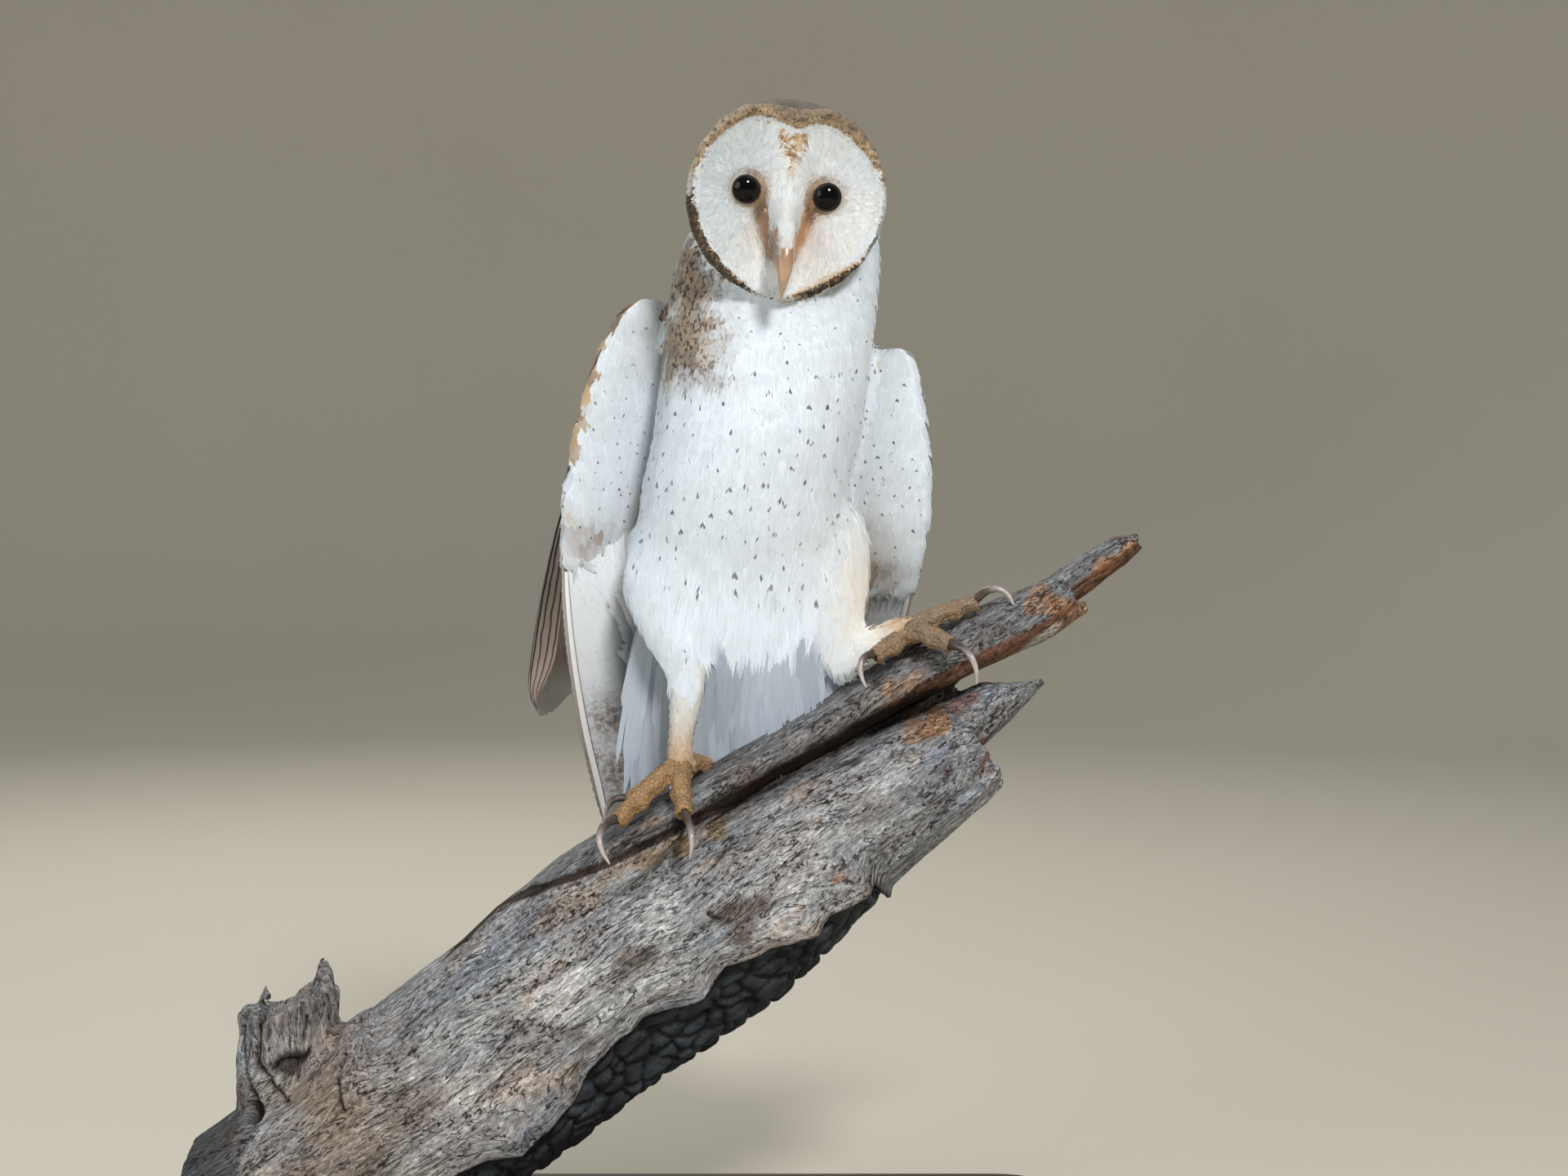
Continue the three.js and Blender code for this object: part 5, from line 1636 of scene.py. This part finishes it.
def make_ruff():
    """Rows of small stiff feathers round the facial disc: dark brown below, speckled gold over the top."""
    rng = np.random.default_rng(SEED + 3)
    rows, around, pitch, front_rows = 16, 390, 0.55, 6  # pitch in millimetres
    row, step = (v.ravel() for v in np.mgrid[0:rows, 0:around])
    angle = (step + 0.5 * row) * 2 * math.pi / around + rng.normal(0, 0.004, rows * around)
    angle = np.mod(angle, 2 * math.pi)
    out = (row - (rows - 1)) * pitch + rng.normal(0, 0.12, len(row))  # millimetres from the rim
    radius = heart(angle) + out * MM
    x, z = radius * np.cos(angle), radius * np.sin(angle)
    local = np.stack([x, face_y(x, z) + (0.4 + 0.35 * np.maximum(row - front_rows, 0)) * MM, z], -1)
    place, normal, _ = nearest(skin.tree, from_head(local))
    plumes = Plumes(place, normal, np.full(len(place), region("face")), np.full(len(place), 1.6 * MM))
    lean = -0.35 * np.sign(np.cos(angle)) * (np.sin(angle) < 0.3)
    c, s = np.cos(angle), np.sin(angle)
    plumes.point(head_turned(np.stack([c + lean * s, np.full(len(angle), 0.3), s - np.abs(lean)], -1)))
    plumes.size(1.9, 1.25, 0.25, rng, 0.15)
    turned = np.degrees(angle)
    flecks = random_share(rng, 0.35, 0.4, len(place))
    ground = mixed(WHITE, CREAM * 0.8, flecks * 0.8)
    plumes.tint = rim_tint(ground, turned, out + 0.5 * noise(place, 4, 14), rng)
    plumes.mark = np.where(rng.random(len(place)) < 0.2, 0.6, 0)
    top = np.interp(turned, *np.array(TOP_BAND).T)
    side_fleck = bump(turned - 172, 34) * (rng.random(len(place)) < 0.07)
    plumes.tint = mixed(plumes.tint, 0.3 * TAWNY, side_fleck)
    plumes = plumes.pick((row >= front_rows) | (out + top > -0.6))
    mesh = feather_mesh("coat_ruff", plumes, 3, 3, rng, ragged=0.2)
    show("coat_ruff", mesh, feather_material("ruff_feathers"), airy=True)


# ---------------------------------------------------------------- toes, eyes, bill and claws


# The middles of the two feet, from which the toes' bristles point away.
FOOT_MIDDLES = {"right": np.array([24, -15, 242]) * MM, "left": np.array([123, -17, 303]) * MM}


def make_toe_bristles():
    """Thin bristles over the toes."""
    rng = np.random.default_rng(SEED + 4)
    plumes = skin.scatter(["toes_right", "toes_left"], 1.5 * MM, rng)
    plumes = plumes.pick((plumes.normals[:, 2] > 0.05) & (rng.random(len(plumes)) < 0.8))
    on_right = plumes.roots[:, :1] < 60 * MM
    away = plumes.roots - np.where(on_right, FOOT_MIDDLES["right"], FOOT_MIDDLES["left"])
    plumes.point(unit(away) + rng.normal(0, 0.25, away.shape))
    plumes.size(2.2, 0.22, 0.5, rng, 0.2)
    plumes.tint = mixed(markings(plumes.roots, plumes.normals, plumes.labels, rng), CREAM, 0.12)
    mesh = feather_mesh("toe_bristles", plumes, 2, 1, rng)
    show("toe_bristles", mesh, feather_material("bristles"))


CORNEA_BULGE = 0.035  # in eye radii
EYE_TURN = math.radians(8)  # the eyes look outward by this much


def make_eyes():
    """Dark glass balls, whose front bulges a little."""
    rings, around = 40, 64
    m = Nodes("eye_glass")
    across = m.read("across")
    colour = m.mix(m.ramp(across, 0.50, 0.56), (0.0015, 0.0013, 0.0013), (0.006, 0.004, 0.003))
    colour = m.mix(m.ramp(across, 0.70, 0.76), colour, (0.006, 0.004, 0.004))
    material = m.finish(colour, m.ramp(m.noise(m.position(), 900), 0.3, 0.7, 0.03, 0.045), 0.22)
    polar = np.linspace(0, math.pi, rings)[1:-1]
    turn = np.linspace(0, 2 * math.pi, around, endpoint=False)
    away, deep = np.sin(polar)[:, None], -np.cos(polar)[:, None]
    grid = np.stack([away * np.cos(turn), deep * np.ones(around), away * np.sin(turn)], -1)
    grid = (grid * (1 + CORNEA_BULGE * bump(polar, 0.55))[:, None, None]).reshape(-1, 3)
    ball = np.concatenate([grid, [[0, -1 - CORNEA_BULGE, 0], [0, 1, 0]]]) * (EYE_RADIUS - 0.02 * MM)
    quads = tube(len(polar), around)[:, ::-1]
    front, rear = len(polar) * around, len(polar) * around + 1
    caps = [fan(around, 0, front), fan(around, front - around, rear)[:, ::-1]]
    for side, sign in zip(SIDES, (-1, 1)):
        outward = np.array(Matrix.Rotation(sign * EYE_TURN, 3, "Z"))
        local = ball @ outward.T + EYE_PLACE * (sign, 1, 1)
        mesh = mesh_of(f"eyeball_{side}", from_head(local), quads, *caps)
        attribute(mesh, "across", np.hypot(ball[:, 0], ball[:, 2]) / EYE_RADIUS)
        show(f"eyeball_{side}", mesh, material, [f"eye_{side}"])


def rounded(name, node):
    """A CAD solid's shape, a little swollen and subdivided until it is smooth."""
    return modified(name, *cad_surface([node], 0.25 * MM), "SUBSURF", levels=2, render_levels=2)


def make_horn():
    """Bill and claws: glossy, the claws dark at the root and paler towards the tip."""
    m = Nodes("bill_horn")
    streaks = m.noise(m.position(), (500, 500, 120), 4)
    colour = m.mix(streaks, (0.44, 0.27, 0.16), (0.62, 0.44, 0.30))
    m.bump(streaks, 0.0002, 0.4)
    colour = m.mix(m.read("root"), colour, (0.36, 0.21, 0.12))
    colour = m.mix(m.read("tip"), colour, (0.62, 0.47, 0.34))
    horn = m.finish(colour, m.ramp(streaks, 0.3, 0.7, 0.28, 0.42), 0.5)
    for part in ("upper", "lower"):
        mesh = rounded(f"mandible_{part}", f"bill_{part}")
        local = to_head(points_of(mesh))
        local[:, 0] *= 1 + 0.25 * ramp_mm(local[:, 2], -40, -27)
        move_to(mesh, from_head(local))
        attribute(mesh, "tip", ramp_mm(local[:, 2], -34, -41))
        attribute(mesh, "root", ramp_mm(local[:, 2], -31, -23))
        show(f"mandible_{part}", mesh, horn, [f"bill_{part}"])
    m = Nodes("claw_horn")
    streaks = m.noise(m.position(), (300, 300, 300), 4)
    colour = m.mix(m.ramp(m.read("tip"), 0.35, 0.95), (0.07, 0.045, 0.034), (0.56, 0.50, 0.46))
    m.bump(streaks, 0.0001, 0.3)
    colour = m.mix(m.ramp(streaks, 0.4, 0.7, 0.0, 0.3), colour, (0.09, 0.06, 0.045))
    claw = m.finish(colour, m.ramp(streaks, 0.3, 0.7, 0.14, 0.24), 0.6)
    for side in SIDES:
        for digit in DIGITS:
            mesh = rounded(f"talon_{digit}_{side}", f"claw_{digit}_{side}")
            points = points_of(mesh)
            root = cad_surface([f"toe_{digit}_{side}"])[0].mean(0)
            away = np.linalg.norm(points - root, axis=1)
            attribute(mesh, "tip", (away - away.min()) / (away.max() - away.min()))
            show(f"talon_{digit}_{side}", mesh, claw, [f"claw_{digit}_{side}"])


# ---------------------------------------------------------------- flight feathers

# The sheets in which the long feathers lie, from root to tip, in millimetres: z, then x and y of places
# across, from the outer edge inwards.
SHEETS = {
    "right_primaries": [
        (352, -30, 1, -12, 18, 12, 36), (328, -31, 1, -11, 15, 13, 31), (305, -31, 4, -9, 18, 16, 34),
        (279, -30, 12, -7, 24, 17, 38), (252, -27.5, 24, -7, 33, 14, 42), (228, -23, 37, -8, 42, 8, 47),
        (212, -19, 46, -10, 48, -1, 51), (204, -17, 50, -13, 51, -9, 52),
    ],
    "right_secondaries": [
        (408, -15, 12, -15, 32, -8, 54, 16, 66), (387, -20, 12, -22, 32, -13, 60, 16, 72),
        (349, -27, 15, -35, 36, -24, 66, 12, 80), (318, -31, 19, -43, 42, -33, 72, 5, 86),
        (287, -36, 29, -49, 49, -41, 74, -8, 88), (268, -44, 42, -51, 53, -44, 73, -22, 86),
        (256, -43, 51, -46, 57, -41, 68, -32, 76),
    ],
    "left_primaries": [
        (340, 133, 11, 112, 22, 88, 34), (318, 130, 18, 109, 29, 86, 40), (296, 126, 31, 105, 39, 84, 47),
        (270, 120, 45, 101, 50, 82, 54), (244, 112, 53, 96, 56, 80, 59), (224, 103, 59, 92, 61, 81, 63),
        (212, 96, 62, 91, 63, 86, 64),
    ],
    "left_secondaries": [
        (388, 124, 16, 122, 34, 112, 56, 88, 68), (366, 126, 18, 124, 36, 113, 60, 86, 74),
        (330, 125, 25, 125, 43, 115, 66, 86, 82), (300, 121, 40, 122, 53, 113, 72, 88, 86),
        (272, 117, 53, 117, 63, 109, 76, 90, 87), (252, 113, 61, 111, 70, 104, 78, 92, 86),
        (240, 108, 68, 106, 72, 102, 77, 97, 82),
    ],
    "tail": [
        (326, 28, 26, 44, 33, 60, 33, 76, 26), (300, 24, 40, 43, 47, 62, 47, 82, 40),
        (265, 23, 53, 45, 60, 66, 60, 89, 53), (232, 25, 64, 47, 70, 67, 70, 88, 64),
        (216, 31, 70, 49, 74, 66, 74, 82, 70), (209, 41, 73, 51, 76, 63, 76, 72, 73),
    ],
}


class Sheet:
    """A curved sheet of feathers. Places on it are given across, from 0 to 1, and by height."""

    def __init__(self, name):
        rows = np.array(SHEETS[name], float) * MM
        self.hand = -1 if name.startswith("left") else 1
        self.z = rows[:, 0]
        flat = rows[:, 1:].reshape(len(rows), -1, 2)
        self.grid = np.concatenate([flat, np.repeat(self.z[:, None, None], flat.shape[1], 1)], -1)

    def at(self, across, z):
        down = weights(np.interp(-z, -self.z, np.linspace(0, 1, len(self.z))), len(self.z))
        held = np.clip(across, 0, 1)
        ends = [np.clip(held + step, 0, 1) for step in (0, 0.02, -0.02)]
        columns = self.grid.shape[1]
        over = [weights(a, columns) for a in ends]
        middle, after, before = [np.einsum("...i,...j,ijc->...c", down, w, self.grid) for w in over]
        slope = (after - before) / (ends[1] - ends[2])[..., None]
        return middle + slope * (across - held)[..., None]

    def width(self, z):
        edge = self.at(np.linspace(0, 1, 9)[None], np.repeat(np.atleast_1d(z)[:, None], 9, 1))
        return np.linalg.norm(np.diff(edge, axis=1), axis=2).sum(1)

    def normal(self, across, z):
        """Towards the wing's or the tail's under side."""
        side = self.at(across + 0.03, z) - self.at(across - 0.03, z)
        down = self.at(across, z - 1 * MM) - self.at(across, z + 1 * MM)
        return self.hand * unit(np.cross(down, side))


# Columns of points across a vane, from its outer edge at -1.
ACROSS = np.array([-1, -0.75, -0.5, -0.25, -0.03, 0, 0.03, 0.15, 0.35, 0.57, 0.8, 1.0])


HALF_THICKNESS = 0.10 * MM


def long_feather(sheet, base, tip, vanes, rng, rows=30, tilt=0.9, shaft=0.6, comb=0.0, flip=1):
    """One flight feather as a thin closed solid, whose base and tip are given as across and z.

    vanes are the outer and inner vane's widths. tilt lays each feather's edge over the next one's, and comb
    roughens the outer edge.
    """
    v = np.linspace(0, 1, rows)
    across = base[0] + (tip[0] - base[0]) * v**1.3
    z = base[1] + (tip[1] - base[1]) * v
    outer, inner = vanes
    w = np.where(ACROSS < 0, ACROSS * outer, ACROSS * inner)
    w = np.where(np.abs(ACROSS) == 0.03, np.sign(ACROSS) * shaft * MM, w)
    # The vane is narrow at the root, full along its length and round at the tip.
    rounding = np.clip(v - 0.82, 0, 1) / 0.185
    full = (0.35 + 0.65 * ramp(v, 0, 0.25)) * np.sqrt(np.clip(1 - rounding**2, 0, 1))
    rag = 1 + 0.03 * rng.normal(0, 1, (rows, 2))
    rag = np.where(rng.random((rows, 2)) < 0.07, 0.86, rag)
    rag[:, 0] *= 1 - comb * (np.arange(rows) % 2)
    edge = np.where(ACROSS[None] < 0, rag[:, :1], rag[:, 1:])
    wide = w[None] * full[:, None] * np.where(np.abs(ACROSS)[None] > 0.9, edge, 1)
    forward = np.abs(wide) * 0.75  # barbs slant towards the tip
    z_grid = np.maximum(z[:, None] - forward * (1 - v[:, None]) ** 0.5, tip[1] - 0.5 * MM)
    a_grid = across[:, None] + flip * wide / np.maximum(sheet.width(z)[:, None], 20 * MM)
    middle = sheet.at(a_grid, z_grid)
    normal = sheet.normal(a_grid, z_grid)
    camber = (0.5 - np.abs(ACROSS)) * 0.5 * MM
    lift = tilt * MM * ACROSS * full[:, None] + camber
    spine = shaft * 0.6 * MM * (1 - 0.75 * v[:, None]) * (ACROSS[None] == 0)
    under = middle + normal * (lift + HALF_THICKNESS + spine)[..., None]
    over = middle + normal * (lift - HALF_THICKNESS - 0.6 * spine)[..., None]
    columns = len(ACROSS)
    points = np.concatenate([under.reshape(-1, 3), over.reshape(-1, 3)])
    grid = np.arange(rows * columns).reshape(rows, columns)
    front = np.stack([grid[:-1, :-1], grid[:-1, 1:], grid[1:, 1:], grid[1:, :-1]], -1).reshape(-1, 4)
    back = front[:, ::-1] + rows * columns
    rim = np.concatenate([grid[0], grid[1:, -1], grid[-1, -2::-1], grid[-2:0:-1, 0]])
    after = np.roll(rim, -1)
    sides = np.stack([after, rim, rim + rows * columns, after + rows * columns], -1)
    faces = np.concatenate([front, back, sides])
    if sheet.hand * flip > 0:
        faces = faces[:, ::-1]
    u = np.broadcast_to(0.5 + 0.5 * ACROSS, (rows, columns)).ravel()
    vane = np.stack([np.tile(u, 2), np.tile(np.repeat(v, columns), 2)], -1)
    return points, faces, vane, np.repeat([0.0, 1.0], rows * columns)


def join_feathers(name, parts, material, nodes):
    """Joins long feathers into one piece. Each part is a feather's mesh, and its look as a dictionary."""
    tiles = math.ceil(math.sqrt(len(parts)))
    starts = np.cumsum([0] + [len(feather[0]) for feather, _ in parts])
    gathered = []
    for k, ((points, faces, vane, dorsal), look) in enumerate(parts):
        # In the unwrap each feather has a tile, with its under side on the left and its upper on the right.
        tile = np.array([k % tiles, k // tiles])
        in_tile = np.stack([(vane[:, 0] + dorsal * 1.06) / 2.1 + 0.01, vane[:, 1] * 0.96 + 0.02], -1)
        fade = look.get("fade", 0.0) * ramp(vane[:, 1], 0.55, 0.95)
        under_bars, upper_bars = look["bars"]
        gathered.append({
            "points": points,
            "faces": faces + starts[k],
            "vane": vane,
            "bake": (tile + in_tile) / tiles,
            "tint": mixed(mixed(look["under"], look["upper"], dorsal), FADED, fade),
            "bars": under_bars * (1 - dorsal) + upper_bars * dorsal,
            "tip": mixed(*look["tip"], dorsal),
            "shaft": np.full(len(points), look["shaft"]),
            "outer": np.full(len(points), look.get("outer", 0.0)),
        })
    whole = {key: np.concatenate([made[key] for made in gathered]) for key in gathered[0]}
    mesh = mesh_of(name, whole["points"], whole["faces"])
    set_maps(mesh, whole["vane"], whole["bake"])
    colour_attribute(mesh, np.clip(whole["tint"], 0, 1))
    for key in ("bars", "tip", "shaft", "outer"):
        attribute(mesh, key, whole[key])
    x, _, z = whole["points"].T / MM
    smudges = [bump(np.hypot(x - at_x, 0.8 * (z - at_z)), radius) for at_x, at_z, radius in SMUDGES]
    attribute(mesh, "smudge", np.max(smudges, 0))
    show(name, mesh, material, nodes)


def flight_material():
    """Long vanes with dark bars, pale tips and clear shafts."""
    m = Nodes("flight_feathers")
    _, across, along, side, barbs = read_vane(m, 150.0, 60.0, 4.0, 0.6)
    mottle = m.noise(m.position(), 420, 4, 0.65)
    wave = m.maths("SINE", m.plus(m.times(along, 32.0), m.times(mottle, 2.5)))
    bars = m.times(m.ramp(wave, 0.35, 0.75), m.ramp(along, 0.15, 0.35))
    bars = m.times(bars, m.read("bars"))
    colour = m.mix(bars, m.read("tint", "Color"), (0.16, 0.125, 0.10))
    at_tip = m.ramp(m.plus(along, m.times(mottle, 0.16)), 0.88, 1.02)
    colour = m.mix(at_tip, colour, m.read("tip", "Color"))
    colour = m.mix(m.ramp(mottle, 0.55, 0.72, 0.0, 0.25), colour, (0.20, 0.15, 0.12))
    shade = m.ramp(barbs, 0.25, 0.75, 0.90, 1.04)
    stain = m.times(m.read("smudge"), m.ramp(mottle, 0.35, 0.6, 0.3, 1.0))
    colour = m.mix(stain, colour, (0.20, 0.13, 0.10))
    colour = m.shaded(colour, shade)
    leading = m.read("outer")
    colour = m.mix(m.times(m.ramp(across, 0.5, 0.47), leading), colour, (0.30, 0.24, 0.20))
    beyond = m.minus(side, m.times(leading, 0.020))
    rachis = m.times(m.ramp(beyond, 0.018, 0.012), m.ramp(along, 1.0, 0.93))
    rachis = m.times(rachis, m.ramp(leading, 0.0, 0.8, 0.3, 1.0))
    shaft = m.mix(m.read("shaft"), (0.30, 0.22, 0.16), (0.95, 0.94, 0.92))
    colour = m.mix(rachis, colour, shaft)
    beside = m.times(m.ramp(beyond, 0.030, 0.022), m.ramp(beyond, 0.012, 0.015))
    colour = m.mix(m.times(beside, leading), colour, (0.12, 0.10, 0.09))
    m.bump(barbs, 0.0002, 0.3)
    return m.finish(colour, m.ramp(barbs, 0.3, 0.7, 0.72, 0.85), 0.2, 0.1)


UNDER_WHITE = np.array([0.86, 0.90, 0.93])
UNDER_PINK = np.array([0.60, 0.54, 0.52])
BROWN_UPPER = np.array([0.175, 0.145, 0.125])
GOLD_UPPER = np.array([0.50, 0.33, 0.18])
PINK_TIP = np.array([0.52, 0.40, 0.34])
FADED = np.array([0.56, 0.45, 0.39])
# x, z and radius in millimetres of brown blotches on the long feathers.
SMUDGES = [(108, 313, 9), (-12, 258, 10), (-9, 231, 10), (-20, 238, 6)]


def make_primaries(side, material, rng):
    """Ten long feathers, of which the leading one is narrow outside its shaft and combed."""
    sheet = Sheet(f"{side}_primaries")
    top, low = sheet.z[0], sheet.z[-1]
    count, parts = 10, []
    for k in range(count):
        share = k / (count - 1)
        leading = k == 0
        base = (0.06 + 0.88 * share, top - 1 * MM)
        tip = (0.22 + 0.68 * share**0.9, low + (46 * share**1.5 + 1) * MM)
        vanes = ((3.2 if leading else 5.5) * MM, (26 - 8 * share) * MM)
        form = {"rows": 70, "shaft": 1.1, "comb": 0.2} if leading else {"rows": 34, "shaft": 0.4}
        feather = long_feather(sheet, base, tip, vanes, rng, **form)
        parts.append((feather, {
            "under": mixed(UNDER_WHITE, UNDER_PINK, 0.10 + 0.05 * rng.random()),
            "upper": mixed(GOLD_UPPER, BROWN_UPPER, 0.4 + 0.4 * rng.random()),
            "bars": (0.04, 0.75), "tip": (UNDER_PINK * 0.8, BROWN_UPPER * 1.3),
            "shaft": 1.0, "outer": 0.8 * leading,
        }))
    join_feathers(f"{side}_primaries", parts, material, [f"wing_{side}_primaries"])


def make_secondaries(side, material, rng):
    """Thirteen broad feathers, longest in the middle of the row."""
    sheet = Sheet(f"{side}_secondaries")
    top, low = sheet.z[0], sheet.z[-1]
    count, parts = 13, []
    for k in range(count):
        share = k / (count - 1)
        base = (0.03 + 0.94 * share, top - 2 * MM)
        tip = (0.10 + 0.82 * share, low + (60 * (share - 0.45) ** 2 + 2 * rng.random()) * MM)
        feather = long_feather(sheet, base, tip, (8.5 * MM, 12 * MM), rng, tilt=0.7)
        parts.append((feather, {
            "under": mixed(UNDER_WHITE, UNDER_PINK, 0.3 + 0.3 * rng.random()),
            "upper": mixed(BROWN_UPPER, GOLD_UPPER, 0.04 + 0.10 * rng.random()),
            "bars": (0.10, 0.12), "tip": (UNDER_WHITE, PINK_TIP), "shaft": 0.1, "fade": 0.9,
        }))
    join_feathers(f"{side}_secondaries", parts, material, [f"wing_{side}_secondaries"])


def make_tail(material, rng):
    """Twelve feathers, with their outer vanes away from the tail's middle."""
    sheet = Sheet("tail")
    count, parts = 12, []
    for k in range(count):
        share = (k + 0.5) / count
        out = abs(share - 0.5) * 2
        base = (0.08 + 0.84 * share, sheet.z[0] - 1 * MM)
        tip = (0.04 + 0.92 * share, (217 - 7 * out) * MM)
        flip = 1 if share < 0.5 else -1
        feather = long_feather(sheet, base, tip, (7 * MM, 9 * MM), rng, rows=32, flip=flip)
        parts.append((feather, {
            # The grey mixed into the under side's white is painted shade.
            "under": mixed(UNDER_WHITE, (0.62, 0.62, 0.66), 0.5),
            "upper": mixed(GOLD_UPPER, BROWN_UPPER, 0.25 + 0.2 * rng.random()),
            "bars": (0.12, 0.6), "tip": (UNDER_WHITE * 0.9, GOLD_UPPER), "shaft": 0.6,
        }))
    join_feathers("tail_feathers", parts, material, ["tail"])


def make_flight_feathers():
    rng = np.random.default_rng(SEED + 5)
    material = flight_material()
    for side in SIDES:
        make_primaries(side, material, rng)
        make_secondaries(side, material, rng)
    make_tail(material, rng)


# ---------------------------------------------------------------- build

make_camera()
make_stage()
make_log()
make_char()
finish_base()

skin = Skin(make_body_skin(), make_feet_skin(), make_lids())
skin.facing = fill_creases(skin)
show_skin()
make_body_coat()
make_vent_coat()
make_face_coat()
make_bridge()
make_skull_coat()
make_ruff()
make_toe_bristles()
make_eyes()
make_horn()
make_flight_feathers()
